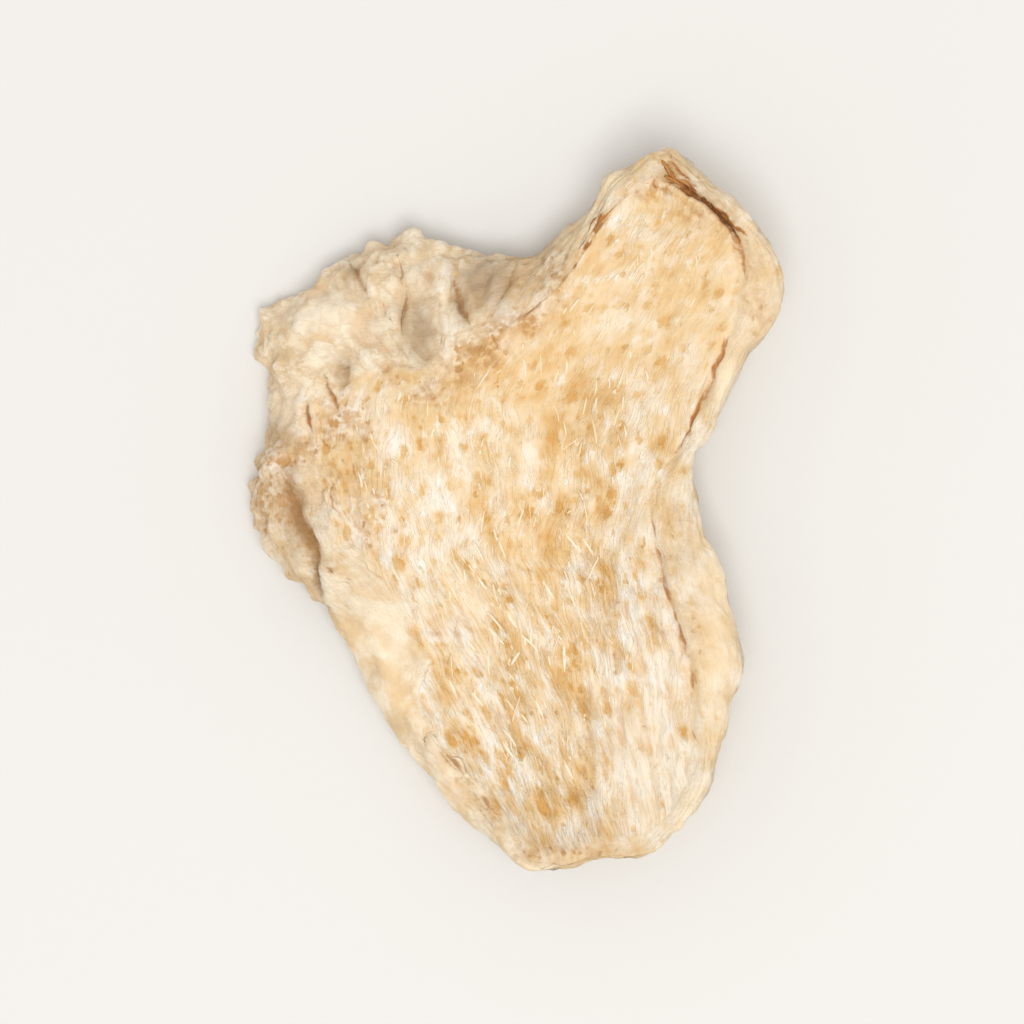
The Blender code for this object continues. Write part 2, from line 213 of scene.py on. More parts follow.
# Smooth skin: x, y, radius along x, along y and how calm it is.
CALM_SKIN = (
    (-6.3, -6.2, 1.8, 3.2, 1.0), (-5.2, -9.3, 1.2, 1.4, 0.8), (-8.7, 9.0, 1.6, 1.2, 0.6),
    (9.0, -5.0, 1.2, 5.0, 0.7), (11.2, 9.5, 1.6, 2.6, 0.55), (9.8, 6.0, 0.9, 1.6, 0.7),
    (4.3, -15.7, 2.6, 0.9, 0.7), (-2.9, -11.9, 1.0, 1.9, 0.9),
)

# Flesh of more contrast, or of less where it is negative: x, y, radius along x, along y and how much.
BUSY_FLESH = (
    (4.3, -3.5, 1.8, 3.8, 0.45), (4.5, 5.0, 2.0, 2.0, 0.15), (5.8, 13.0, 2.4, 1.6, 0.5),
    (5.7, -10.6, 1.7, 3.2, -0.5), (-0.5, -7.0, 3.2, 3.4, 0.2), (1.2, -13.2, 3.2, 2.2, 0.35),
)

# The fan of the fibres: at the places GRAIN_Y along the slice, the fan's middle and its half width, which
# counts as GRAIN_UNIT across. Specks follow the fan less: SPECK_SPREAD is the power of its width over
# SPECK_WIDTH that they spread by, SPECK_ALONG is where they lie along the slice at GRAIN_Y, and
# SPECK_STRETCH is how they go on beyond its ends. The underside reads its noise UNDER_LAYER away.
GRAIN_Y = (-16.0, -2.0, 5.0, 14.0)
GRAIN_CENTRE = (3.8, -0.8, -0.8, 2.6)
GRAIN_WIDTH = (5.2, 9.0, 10.5, 12.0)
GRAIN_UNIT = 7.0
SPECK_WIDTH = 9.5
SPECK_SPREAD = 0.7
SPECK_ALONG = (-7.2, 0.0, 3.5, 9.1)
SPECK_STRETCH = 0.6
UNDER_LAYER = 40.0

# Creases of the surface: the line's points, its half width, its depth and how brown it is.
CREASES = (
    (((-5.5, 12.2), (-5.2, 11.2), (-4.95, 10.2)), 0.24, 0.34, 0.55),
    (((-4.95, 10.4), (-4.8, 9.4), (-5.0, 8.2)), 0.28, 0.36, 0.75),
    (((-5.9, 9.9), (-5.8, 9.2), (-5.4, 8.7), (-5.1, 8.5)), 0.2, 0.18, 0.6),
    (((-5.9, 10.0), (-5.4, 10.1), (-4.95, 9.95)), 0.18, 0.14, 0.4),
    (((-7.9, 11.8), (-7.3, 11.2), (-7.0, 10.4), (-6.6, 9.9)), 0.32, 0.32, 0.7),
    (((-6.2, 8.2), (-6.5, 7.8), (-7.0, 7.5)), 0.22, 0.14, 0.4),
    (((-2.7, 11.0), (-2.45, 10.0), (-2.3, 9.4), (-2.1, 8.9), (-1.8, 8.4)), 0.3, 0.42, 0.9),
    (((-1.0, 11.6), (-1.2, 10.4), (-1.6, 9.3)), 0.26, 0.22, 0.45),
    (((0.1, 11.5), (-0.3, 10.4), (-0.8, 9.2)), 0.24, 0.24, 0.6),
    (((0.7, 11.7), (0.5, 10.6), (0.3, 9.8)), 0.24, 0.14, 0.35),
    (((-3.3, 8.3), (-3.25, 7.9), (-3.2, 7.6)), 0.2, 0.14, 0.7),
    (((-7.5, 7.2), (-7.7, 6.7), (-7.8, 6.1)), 0.24, 0.16, 0.4),
    (((-8.9, 6.5), (-8.6, 6.4), (-8.5, 5.8), (-8.2, 5.2), (-7.95, 4.6)), 0.24, 0.24, 0.9),
    (((-9.3, 5.2), (-9.45, 4.5), (-9.3, 3.7)), 0.22, 0.24, 1.0),
    (((-8.8, 3.7), (-8.6, 3.2), (-8.3, 3.0)), 0.2, 0.16, 0.7),
    (((-1.1, 8.4), (-0.7, 7.9), (-0.6, 7.4)), 0.2, 0.12, 0.8),
    (((-11.3, 8.8), (-11.4, 7.5), (-11.3, 5.8)), 0.35, 0.16, 0.35),
    (((-10.2, 9.4), (-10.3, 8.5)), 0.28, 0.12, 0.25),
    (((-10.8, 2.0), (-10.4, 1.2), (-9.9, 0.0), (-9.4, -1.2), (-9.1, -2.4), (-8.95, -4.4)), 0.65, 0.5, 0.95),
    (((-8.5, -2.3), (-8.1, -2.7)), 0.2, 0.2, 0.9), (((-7.8, -3.0), (-7.4, -3.3)), 0.2, 0.12, 0.5),
    (((-7.9, 1.7), (-8.3, 1.0), (-8.2, 0.3), (-7.9, 0.0)), 0.2, 0.12, 0.7),
    (((-7.2, 2.4), (-7.3, 1.8), (-7.0, 1.4)), 0.18, 0.1, 0.6),
    (((-4.1, -10.7), (-3.85, -10.1), (-3.4, -9.7)), 0.2, 0.1, 0.6),
    (((-6.5, -6.4), (-6.4, -7.2), (-6.2, -8.0)), 0.45, 0.16, 0.3),
    (((-5.4, -9.0), (-4.9, -10.2)), 0.4, 0.14, 0.3),
    (((7.2, 16.3), (7.6, 15.4), (8.5, 14.65)), 0.22, 0.2, 0.9),
    (((6.7, 15.2), (6.45, 14.85), (6.75, 14.6)), 0.2, 0.22, 0.9),
    (((10.05, 12.3), (10.4, 11.5), (10.6, 10.6)), 0.18, 0.1, 0.9),
    (((3.3, -7.0), (3.2, -9.0), (3.4, -10.8), (3.3, -12.5), (3.4, -14.5)), 0.4, 0.1, 0.3),
    (((8.2, -9.6), (8.5, -10.4)), 0.2, 0.1, 0.6), (((7.1, 1.5), (7.1, 1.2)), 0.2, 0.08, 0.6),
    (((4.25, 13.7), (4.0, 13.2), (3.75, 12.75)), 0.17, 0.16, 1.4),
    (((3.6, 12.5), (3.3, 12.0)), 0.15, 0.12, 1.3), (((3.0, 11.6), (2.7, 11.1)), 0.14, 0.1, 1.1),
    (((1.5, 9.9), (0.9, 9.3), (0.4, 8.8)), 0.14, 0.08, 0.9),
    (((7.3, 15.1), (7.9, 14.75), (8.7, 14.2)), 0.2, 0.1, 1.3),
    (((9.0, 14.0), (9.8, 13.3), (10.7, 12.5)), 0.16, 0.05, 1.5),
    (((7.2, -0.8), (7.5, -1.3)), 0.2, 0.08, 0.6),
    (((6.3, 0.5), (6.4, -0.5), (6.65, -1.3)), 0.14, 0.05, 0.7),
    (((6.9, -2.5), (7.2, -3.5), (7.45, -4.3)), 0.24, 0.08, 0.7),
    (((7.55, -4.7), (7.8, -5.6), (7.95, -6.5)), 0.25, 0.07, 0.75),
    (((8.1, -6.9), (8.5, -7.8)), 0.2, 0.05, 0.6),
    (((-3.5, -10.6), (-3.0, -11.2), (-2.3, -12.0)), 0.24, 0.04, 0.55),
    (((-2.0, -12.4), (-1.5, -13.0), (-1.0, -13.6)), 0.22, 0.04, 0.5),
    (((9.75, 8.0), (9.4, 7.0), (8.95, 6.0)), 0.17, 0.05, 1.15),
    (((8.8, 5.7), (8.4, 4.6), (7.95, 3.4)), 0.16, 0.05, 1.1),
)

# Stains of the surface, and grey painted shade in its dips and on its shaded walls: x, y, radius along x,
# along y and strength.
BROWN_STAINS = (
    (-1.4, 7.3, 1.0, 0.6, 1.4), (-0.7, 8.3, 0.6, 0.8, 1.05), (0.7, 8.7, 0.9, 0.6, 1.25),
    (2.1, 10.9, 0.6, 1.4, 0.85), (-7.2, 4.4, 1.2, 0.8, 0.6), (11.3, 9.6, 0.7, 1.7, 0.65),
    (8.4, 13.6, 0.8, 0.6, 1.1), (9.8, 13.1, 0.5, 0.5, 0.8), (6.9, 14.7, 0.6, 0.5, 1.2),
    (8.4, -5.4, 0.6, 1.6, 0.45), (6.8, -3.2, 0.5, 0.7, 0.35), (-2.2, -12.2, 0.6, 1.0, 0.4),
    (-0.8, -13.9, 0.7, 0.6, 0.35), (3.2, -15.5, 3.0, 0.5, 0.75), (-3.8, 5.6, 0.8, 0.6, 0.8),
    (-2.3, 6.1, 0.9, 0.4, 0.85), (-5.2, 6.2, 0.7, 0.4, 0.6), (-2.4, 7.7, 0.5, 0.3, 0.45),
    (-5.75, 6.7, 0.25, 0.25, 1.0), (-3.85, 10.9, 0.28, 0.35, 1.1), (-8.3, 3.8, 0.6, 0.6, 0.95),
    (-9.6, 2.9, 0.8, 0.6, 0.9), (-10.9, 2.3, 0.9, 0.4, 0.65), (-10.4, 0.7, 0.6, 1.5, 1.05),
    (-11.8, 0.4, 0.7, 2.0, 0.95), (-9.6, -1.2, 0.35, 1.2, 0.8), (7.3, 15.3, 0.35, 0.5, 0.9),
    (-10.2, 2.4, 0.3, 0.2, 0.8), (-12.1, 2.2, 0.4, 0.4, 0.6), (-11.4, 0.5, 0.3, 0.8, 0.65),
    (-10.3, -2.9, 0.3, 0.4, 0.6), (-6.7, 3.35, 0.25, 0.3, 1.0), (-6.65, -0.9, 0.35, 0.6, 0.9),
    (-7.2, 1.4, 1.5, 2.4, 0.45), (-6.3, 1.2, 0.4, 0.4, 0.45), (-4.0, 5.6, 1.6, 0.8, 0.18),
    (-8.0, 4.6, 0.9, 1.0, 0.4), (-5.8, 0.4, 0.3, 0.25, 0.7), (-5.3, -0.8, 0.3, 0.3, 0.45),
    (0.9, -15.3, 0.4, 0.4, 0.4), (1.2, 10.8, 1.0, 1.2, 0.4), (-0.2, 11.0, 0.9, 0.9, 0.3),
    (-2.6, 6.7, 1.2, 0.5, 0.4), (5.8, 14.5, 0.3, 0.25, 0.6), (7.2, 15.9, 0.35, 0.4, 0.8),
    (7.0, 13.5, 0.6, 0.3, 0.3), (6.8, -5.1, 0.25, 0.3, 0.8), (4.7, -6.8, 0.3, 0.6, 0.65),
    (3.2, -8.3, 0.3, 0.6, 0.65), (3.5, -10.5, 0.3, 0.6, 0.65), (3.0, -0.5, 0.35, 0.4, 0.55),
    (3.4, -2.6, 0.4, 0.5, 0.55), (4.6, -4.1, 0.4, 0.3, 0.55), (4.3, -0.2, 0.2, 0.5, 0.55),
    (-4.6, -3.3, 0.25, 0.25, 0.8), (-3.6, -5.4, 0.3, 0.3, 0.55), (-2.7, -5.5, 0.25, 0.25, 0.55),
    (-0.7, -9.2, 0.4, 0.3, 0.65), (-0.6, 0.5, 0.3, 0.3, 0.55), (-3.1, 3.0, 0.3, 0.7, 0.45),
    (-1.2, -0.8, 0.4, 0.4, 0.45), (1.7, -6.4, 0.3, 0.4, 0.55), (1.7, 0.6, 0.25, 0.25, 0.55),
)
# Grey painted shade, in the dips and on walls and flanks that face away from the light.
GREY_SHADE = (
    (-4.2, 8.4, 0.8, 1.4, 1.0), (-7.4, 11.1, 0.5, 0.7, 0.75), (-7.7, 6.6, 0.4, 0.7, 0.75),
    (-10.9, 3.9, 0.8, 0.8, 0.85), (-1.5, 10.7, 1.0, 1.4, 0.95), (-2.3, 9.5, 0.5, 1.0, 0.45),
    (-0.3, 10.6, 0.8, 1.0, 0.5), (-10.0, -0.2, 0.5, 2.0, 0.7), (-10.5, 1.1, 0.5, 1.0, 0.55),
    (-6.8, -4.3, 1.3, 1.3, 0.13), (-9.0, -3.4, 0.4, 1.0, 0.45), (1.5, 12.3, 0.6, 0.5, 0.45),
    (0.9, 11.3, 0.8, 0.6, 0.25), (-6.5, -7.2, 0.4, 0.9, 0.4), (-5.3, -9.6, 0.5, 0.6, 0.4),
    (3.6, 5.0, 1.8, 2.2, 0.15), (2.4, -15.0, 1.6, 0.6, 0.25),
)
PALE_STAINS = (
    (5.8, -9.8, 1.4, 2.6, 0.95), (5.3, -4.2, 0.8, 2.8, 0.85), (6.7, -6.9, 0.7, 1.3, 0.5),
    (6.9, -10.9, 0.7, 1.3, 0.9), (5.3, -13.7, 0.9, 0.7, 0.9), (5.2, -7.9, 0.7, 0.7, 0.5),
    (-5.3, -6.2, 0.5, 0.9, 0.8), (-3.7, -3.2, 0.8, 0.8, 0.5), (-0.8, -7.8, 0.8, 0.8, 0.55),
    (3.8, -13.8, 0.8, 0.7, 0.6), (-3.8, 2.8, 0.8, 0.8, 0.5), (2.2, 4.2, 0.7, 0.7, 0.5),
    (0.8, -10.6, 0.8, 1.5, 0.6), (-5.0, -2.4, 1.0, 1.3, 1.1), (-2.8, -4.8, 1.2, 1.2, 0.9),
    (6.8, 4.3, 0.8, 0.9, 0.5), (3.9, -9.3, 0.6, 0.9, 1.0), (-8.2, 7.2, 0.6, 0.5, 0.7),
    (-8.8, 9.3, 1.7, 1.0, 0.6), (-6.2, 8.5, 0.5, 0.4, 0.7), (-5.35, 9.3, 0.3, 0.4, 0.7),
    (-4.1, 11.1, 0.8, 0.9, 0.7), (-6.6, 12.5, 0.4, 0.3, 0.8), (-4.8, 12.8, 0.7, 0.4, 0.6),
    (-10.3, 5.0, 0.5, 0.9, 0.6), (-8.5, -0.6, 0.5, 1.1, 1.1), (-9.9, -2.0, 0.3, 0.7, 0.9),
    (-4.15, -8.3, 0.18, 2.2, 1.0), (2.2, 11.5, 0.35, 1.0, 0.5), (3.4, 13.5, 0.45, 1.1, 0.9),
    (-3.6, -11.3, 0.4, 0.9, 0.5), (-2.4, -13.0, 0.5, 0.5, 0.4), (-1.2, -14.3, 0.5, 0.5, 0.3),
    (-12.1, 1.0, 0.3, 0.6, 0.6), (5.7, 1.0, 0.6, 2.2, 0.65), (5.6, -2.0, 0.6, 1.5, 0.3),
    (6.0, -11.3, 1.7, 2.8, 0.6), (4.2, -7.4, 0.2, 0.9, 0.6), (9.7, 6.0, 0.6, 1.7, 1.0),
    (10.6, 8.2, 0.6, 1.3, 0.5), (9.4, -5.5, 0.7, 4.0, 0.4), (8.2, -13.2, 0.8, 1.6, 0.5),
    (8.0, 3.0, 0.4, 0.8, 0.5), (4.6, 15.0, 0.7, 0.9, 0.9), (6.6, 5.6, 0.8, 0.8, 0.45),
    (-5.2, 3.4, 1.0, 0.8, 0.4), (2.0, -11.0, 2.4, 2.2, 0.3),
)
GOLDEN_STAINS = (
    (2.3, -1.5, 1.2, 3.0, 0.75), (2.3, -6.5, 0.8, 2.0, 0.55), (2.2, -11.5, 0.8, 3.5, 0.6),
    (0.6, 6.6, 1.2, 1.6, 0.2), (-2.3, -12.2, 0.7, 0.9, 1.1), (-0.8, -13.7, 0.8, 0.8, 0.9),
    (0.9, -12.4, 0.9, 0.8, 0.45), (3.7, -11.6, 0.8, 2.6, 0.2), (3.9, -2.8, 0.7, 2.2, 0.8),
    (0.9, -2.6, 0.8, 1.1, 1.0), (-0.6, -3.3, 0.8, 0.8, 1.3), (2.2, 7.0, 2.2, 2.8, 0.55),
    (2.4, -4.8, 2.2, 3.6, 0.3), (3.2, -11.0, 0.7, 3.5, 0.18), (4.0, -3.0, 1.0, 3.0, 0.2),
    (7.0, 10.6, 2.6, 2.4, 0.4), (3.6, 5.2, 1.8, 2.2, 1.25), (6.6, 12.6, 1.4, 1.1, 0.4),
    (-1.6, 6.6, 2.2, 1.2, 0.7), (-7.2, 1.8, 1.6, 2.6, 0.2), (1.0, 0.6, 2.0, 1.6, 0.25),
    (-0.8, -12.0, 1.2, 1.6, 0.15), (8.8, -5.0, 0.7, 4.0, 0.15), (11.1, 10.8, 0.7, 1.8, 0.8),
)

# Pale hairs on the upper face: x and y of each end.
HAIRS = (
    (-1.3, -5.0, -0.1, -6.5), (0.4, -6.2, -0.4, -7.2), (-2.2, -5.6, -1.4, -6.9), (4.3, -6.4, 4.25, -8.0),
    (2.2, -0.7, 3.2, -2.1), (3.0, -0.9, 3.9, -2.4), (-1.8, -2.6, -1.0, -3.9), (-0.6, -10.2, 0.2, -11.6),
    (2.3, -5.7, 2.2, -7.8), (1.5, -13.3, 2.6, -14.6), (-0.4, -4.4, 0.3, -5.6), (0.9, -8.3, 1.5, -9.9),
    (-2.0, -8.0, -1.2, -9.2), (2.2, -11.0, 2.9, -12.6), (-3.0, -7.4, -2.5, -8.7), (1.3, -3.0, 2.0, -4.3),
)

# Torn shreds: x and y of the foot, direction in degrees, length, width, how far the tip lifts and how
# brown it is (0 pale, 1 brown).
SHREDS = (
    (6.9, 16.0, 305.0, 0.9, 0.3, 0.02, 0.8), (7.1, 15.7, 300.0, 0.8, 0.26, 0.03, 1.0),
    (7.0, 15.3, 325.0, 0.9, 0.24, 0.02, 0.9), (7.5, 15.2, 315.0, 0.9, 0.26, 0.02, 0.7),
    (8.1, 14.7, 315.0, 0.9, 0.24, 0.02, 0.9), (8.8, 14.25, 320.0, 0.7, 0.18, 0.02, 0.8),
)


def height_setting(name, description, default):
    """A height or depth of the relief, in millimetres."""
    description += ", in millimetres"
    return bpy.props.FloatProperty(name=name, description=description, default=default, min=0)


def colour_setting(name, description, default):
    """A colour without its alpha."""
    return bpy.props.FloatVectorProperty(name=name, description=description, subtype="COLOR", default=default)


class GingerSliceSettings(bpy.types.PropertyGroup):
    """Relief of the slice, in millimetres, and its colours."""

    knob_height: height_setting("Knobs", "Height of the skin's broad knobs", 0.30)
    wrinkle_height: height_setting("Wrinkles", "Height of the skin's wrinkles", 0.14)
    fold_height: height_setting("Folds", "Height of the puffs between the rim's folds", 0.26)
    pleat_height: height_setting("Pleats", "Height of the shoulder's pleats", 0.30)
    crumb_height: height_setting("Crumbs", "Height of the skin's small crumbs on the left", 0.20)
    fibre_height: height_setting("Fibre ridges", "Height of the flesh's fibre ridges", 0.08)
    pit_depth: height_setting("Pits", "Depth of the flesh's pits", 0.07)
    flesh_colour: colour_setting("Flesh", "Colour of the cut flesh", (0.855, 0.63, 0.36))
    pale_colour: colour_setting("Starchy flesh", "Colour of the flesh's palest fibres", (0.94, 0.83, 0.675))
    white_colour: colour_setting("White flesh", "Colour of the flesh's whitest spots", (0.975, 0.93, 0.85))
    speck_colour: colour_setting("Specks", "Colour of the oil specks", (0.73, 0.41, 0.13))
    skin_colour: colour_setting("Skin", "Colour of the skin's raised places", (0.975, 0.86, 0.67))
    rim_colour: colour_setting("Worn rim", "Colour of the right rim's worn places", (0.97, 0.79, 0.53))
    # Also the painted shade in the skin's hollows, and the skin's darker blotches.
    skin_shade_colour: colour_setting("Skin in folds", "Colour of the skin in its folds", (0.75, 0.54, 0.33))
    # Dark brown and painted shade: it stands for the shade deep in the crack and in the darkest lines' cores.
    crack_colour: colour_setting("Crack", "Colour deep in the crack", (0.23, 0.09, 0.025))
    stain_colour: colour_setting("Brown stains", "Colour of the brown stains", (0.58, 0.325, 0.125))
    # The colour of the grey painted shade in the dips and on shaded walls.
    grey_colour: colour_setting("Grey dips", "Colour of the skin's grey dips", (0.47, 0.345, 0.22))
    line_colour: colour_setting("Flesh lines", "Colour of the lines in the flesh", (0.50, 0.185, 0.02))
    crease_colour: colour_setting("Creases", "Colour deep in the skin's creases", (0.40, 0.215, 0.08))


class GingerFibreSettings(bpy.types.PropertyGroup):
    """Number, size and colour of the loose fibres on the cut faces."""

    upper_count: bpy.props.IntProperty(
        name="Upper fibres", description="Fibres on the upper cut face", default=380, min=0
    )
    under_count: bpy.props.IntProperty(
        name="Lower fibres", description="Fibres on the lower cut face", default=600, min=0
    )
    longest: bpy.props.FloatProperty(
        name="Longest", description="Length of the longest fibre, in millimetres", default=2.1, min=0.1
    )
    thickest: bpy.props.FloatProperty(
        name="Thickest", description="Radius of the thickest fibre, in millimetres", default=0.08, min=0.005
    )
    pale_colour: colour_setting("Pale fibres", "Colour of the palest fibres", (0.96, 0.87, 0.70))
    tan_colour: colour_setting("Tan fibres", "Colour of the darkest fibres", (0.88, 0.70, 0.46))


class GingerShredSettings(bpy.types.PropertyGroup):
    """Colours of the torn shreds."""

    shred_colour: colour_setting("Brown shreds", "Colour of the brown shreds", (0.50, 0.20, 0.045))
    pale_colour: colour_setting("Pale shreds", "Colour of the pale shreds", (0.74, 0.46, 0.20))


class GingerStageSettings(bpy.types.PropertyGroup):
    """Floor, lights and camera."""

    floor_size: bpy.props.FloatProperty(
        name="Floor", description="Width of the floor", default=3.0, unit="LENGTH", min=0.1
    )
    floor_colour: colour_setting("Floor colour", "Colour of the pale floor", (0.80, 0.805, 0.81))
    lens: bpy.props.FloatProperty(
        name="Lens", description="Focal length, in millimetres", default=190.0, min=10
    )
    frame_fill: bpy.props.FloatProperty(
        name="Frame fill",
        description="Share of the picture's height that the slice takes",
        default=0.7,
        min=0.1,
        max=1,
    )


def closed_curve(rows, count):
    """Closed Catmull-Rom curve through the rows, sampled evenly by its length in the first two columns."""
    rows = np.asarray(rows, float)
    steps = np.arange(0, len(rows), CURVE_STEP)
    start = np.floor(steps).astype(int)
    part = (steps - start)[:, None]
    before, this, after, beyond = (rows[(start + k) % len(rows)] for k in (-1, 0, 1, 2))
    fine = 0.5 * (
        2 * this
        + (after - before) * part
        + (2 * before - 5 * this + 4 * after - beyond) * part**2
        + (3 * this - before - 3 * after + beyond) * part**3
    )
    fine = np.vstack([fine, fine[:1]])
    gone = np.r_[0.0, np.cumsum(np.hypot(*np.diff(fine[:, :2], axis=0).T))]
    even = np.arange(count) * gone[-1] / count
    return np.stack([np.interp(even, gone, column) for column in fine.T], axis=1)


def bent_sheet(points):
    """Thin-plate sheet through the given heights: a function of x and y that bends as little as it can."""
    places, heights = np.array(points)[:, :2], np.array(points)[:, 2]

    def pull(x, y):
        """What each given place adds: the squared distance to it times the logarithm of that."""
        square = (x[..., None] - places[:, 0]) ** 2 + (y[..., None] - places[:, 1]) ** 2
        return square * np.log(square + TINY)

    flat = np.c_[np.ones(len(places)), places]
    system = np.block([[pull(*places.T), flat], [flat.T, np.zeros((3, 3))]])
    weights = np.linalg.solve(system, np.r_[heights, np.zeros(3)])

    def height(x, y):
        """The weighted pulls and a slanted plane."""
        return pull(x, y) @ weights[:-3] + weights[-3] + weights[-2] * x + weights[-1] * y

    return height


def shuffled(order, cells):
    """A number below the table's size for each cell: its three whole coordinates, looked up in turn."""
    x, y, z = cells.T
    return order[(order[(order[x % TABLE_SIZE] + y) % TABLE_SIZE] + z) % TABLE_SIZE]


def noise(points, size, seed):
    """Gradient noise between about -1 and 1 at the points, whose swellings are about the size across: each
    corner of a cell has a slope, and the heights of the eight slopes fade into each other."""
    random = np.random.default_rng(seed)
    order = random.permutation(TABLE_SIZE)
    slopes = random.normal(size=(TABLE_SIZE, 3))
    slopes /= np.linalg.norm(slopes, axis=1)[:, None] / SLOPE
    cell = np.floor(points / size).astype(int)
    inside = points / size - cell
    fade = inside**3 * (inside * (inside * 6 - 15) + 10)
    total = np.zeros(len(points))
    for corner in np.ndindex(2, 2, 2):
        slope = slopes[shuffled(order, cell + corner)]
        weight = np.where(corner, fade, 1 - fade).prod(axis=1)
        total += weight * (slope * (inside - corner)).sum(axis=1)
    return total


def dots(points, size, seed):
    """Distance from each point to the nearest of one scattered dot for each cell, in cell widths."""
    random = np.random.default_rng(seed)
    order = random.permutation(TABLE_SIZE)
    scatter = random.uniform(size=(TABLE_SIZE, 3))
    cell = np.floor(points / size).astype(int)
    nearest = np.full(len(points), FAR)
    for corner in np.ndindex(3, 3, 3):
        there = cell + corner - 1
        dot = there + scatter[shuffled(order, there)]
        nearest = np.minimum(nearest, ((points / size - dot) ** 2).sum(axis=1))
    return np.sqrt(nearest)


def puffs(points, size, seed):
    """Rounded swellings between sharp creases: a power of the noise's size, less its mean."""
    return np.abs(noise(points, size, seed)) ** 0.7 - PUFF_MEAN


def smooth(value, low, high):
    """0 below low, 1 above high, and a smooth step between them."""
    part = np.clip((value - low) / (high - low), 0, 1)
    return part * part * (3 - 2 * part)


middle_layer = bent_sheet(WARP)


def half_thickness(y):
    """The slice thins towards the tips of its lobes."""
    share = np.clip((y - LOBE_START_Y) / (LOBE_END_Y - LOBE_START_Y), 0, 1)
    return HALF_THICKNESS - THINNER_AT_LOBES * share


def bells(x, y, marks):
    """Sum of bells given by x, y, radius along x, along y and height: each is its height times e to the
    power of minus the squared distance, counted in radii."""
    return sum(h * np.exp(-(((x - a) / p) ** 2) - ((y - b) / q) ** 2) for a, b, p, q, h in marks)


def lumps(x, y):
    """How far the slice swells or sinks at each place."""
    return bells(x, y, LUMPS)


def line_distance(x, y, line):
    """Distance from each place to the broken line through the given points, and how far along it that is."""
    line = np.array(line)
    starts, runs = line[:-1], np.diff(line, axis=0)
    lengths = np.hypot(*runs.T)
    aside, ahead = x[:, None] - starts[:, 0], y[:, None] - starts[:, 1]
    part = np.clip((aside * runs[:, 0] + ahead * runs[:, 1]) / lengths**2, 0, 1)
    away = np.hypot(aside - part * runs[:, 0], ahead - part * runs[:, 1])
    nearest = away.argmin(axis=1)
    gone = np.cumsum(lengths) - lengths + part * lengths
    each = np.arange(len(x))
    return away[each, nearest], gone[each, nearest] / lengths.sum()


def creases(points):
    """Depth of the creases and how near their brown is: 1 on a brown line, 0 at its edge, less beyond.

    The lines waver with noise and taper to both ends by the root of a sine. A crease is a sharp valley
    with a low swelling along each side.
    """
    x = points[:, 0] + 0.13 * noise(points, 0.8, 35) + 0.05 * noise(points, 0.3, 38)
    y = points[:, 1] + 0.13 * noise(points, 0.8, 36) + 0.05 * noise(points, 0.3, 39)
    depth, brown = np.zeros(len(points)), np.full(len(points), -1.0)
    for line, width, deep, dark in CREASES:
        away, share = line_distance(x, y, line)
        taper = 0.25 + 0.75 * np.sqrt(np.sin(np.pi * share))
        away = away / (width * taper)
        valley = np.maximum(1 - away, 0) ** 1.4 - 0.3 * np.exp(-(((away - 1.8) / 0.8) ** 2))
        depth += deep * taper * valley
        brown = np.maximum(brown, dark * taper - 1.2 * away)
    return depth, brown


def upper_height(x, y):
    """The upper cut face without its swellings: half the thickness above the middle layer."""
    return middle_layer(x, y) + half_thickness(y)


def under_height(x, y):
    """The underside, flat where it touches the surface that it rests on."""
    return np.maximum(middle_layer(x, y) - half_thickness(y), 0.0)


def grain_places(x, y):
    """Places measured across and along the fibres, which fan out from the foot to the lobes."""
    centre = np.interp(y, GRAIN_Y, GRAIN_CENTRE)
    return (x - centre) / np.interp(y, GRAIN_Y, GRAIN_WIDTH) * GRAIN_UNIT, y


def speck_places(u, y):
    """Places for the specks, from the place across the fibres: stretched, and fanned out less."""
    across = u * (np.interp(y, GRAIN_Y, GRAIN_WIDTH) / SPECK_WIDTH) ** SPECK_SPREAD
    beyond = y - np.clip(y, GRAIN_Y[0], GRAIN_Y[-1])
    return across, np.interp(y, GRAIN_Y, SPECK_ALONG) + SPECK_STRETCH * beyond


def border(grid):
    """A square grid's outermost corners in order, from the first one of its last column."""
    return np.concatenate([grid[:-1, -1], grid[-1, :0:-1], grid[:0:-1, 0], grid[0, :-1]])


def square_of_loops(cells):
    """For each corner of a square grid: its share of the way from the middle to the edge, and round it."""
    steps = np.linspace(-1, 1, cells + 1)
    x, y = (part.ravel() for part in np.meshgrid(steps, steps))
    share = np.maximum(np.abs(x), np.abs(y))
    x, y = x / np.maximum(share, TINY), y / np.maximum(share, TINY)
    sides = [(x >= 1) & (y < 1), y >= 1, x <= -1]
    quarters = np.select(sides, [(1 + y) / 2, 1 + (1 - x) / 2, 2 + (1 - y) / 2], 3 + (1 + x) / 2)
    return share, quarters / 4


def at_turn(loop, turn):
    """The loop's points at the given shares of one turn."""
    along = np.arange(len(loop)) / len(loop)
    return np.stack([np.interp(turn, along, column, period=1) for column in loop.T], axis=1)


def round_noise(turn, length, size, seed):
    """Noise along a closed line of the given length: it is read on a circle of that length."""
    radius = length / (2 * np.pi)
    angle = turn * 2 * np.pi
    return noise(np.c_[radius * np.cos(angle), radius * np.sin(angle), np.zeros_like(angle)], size, seed)


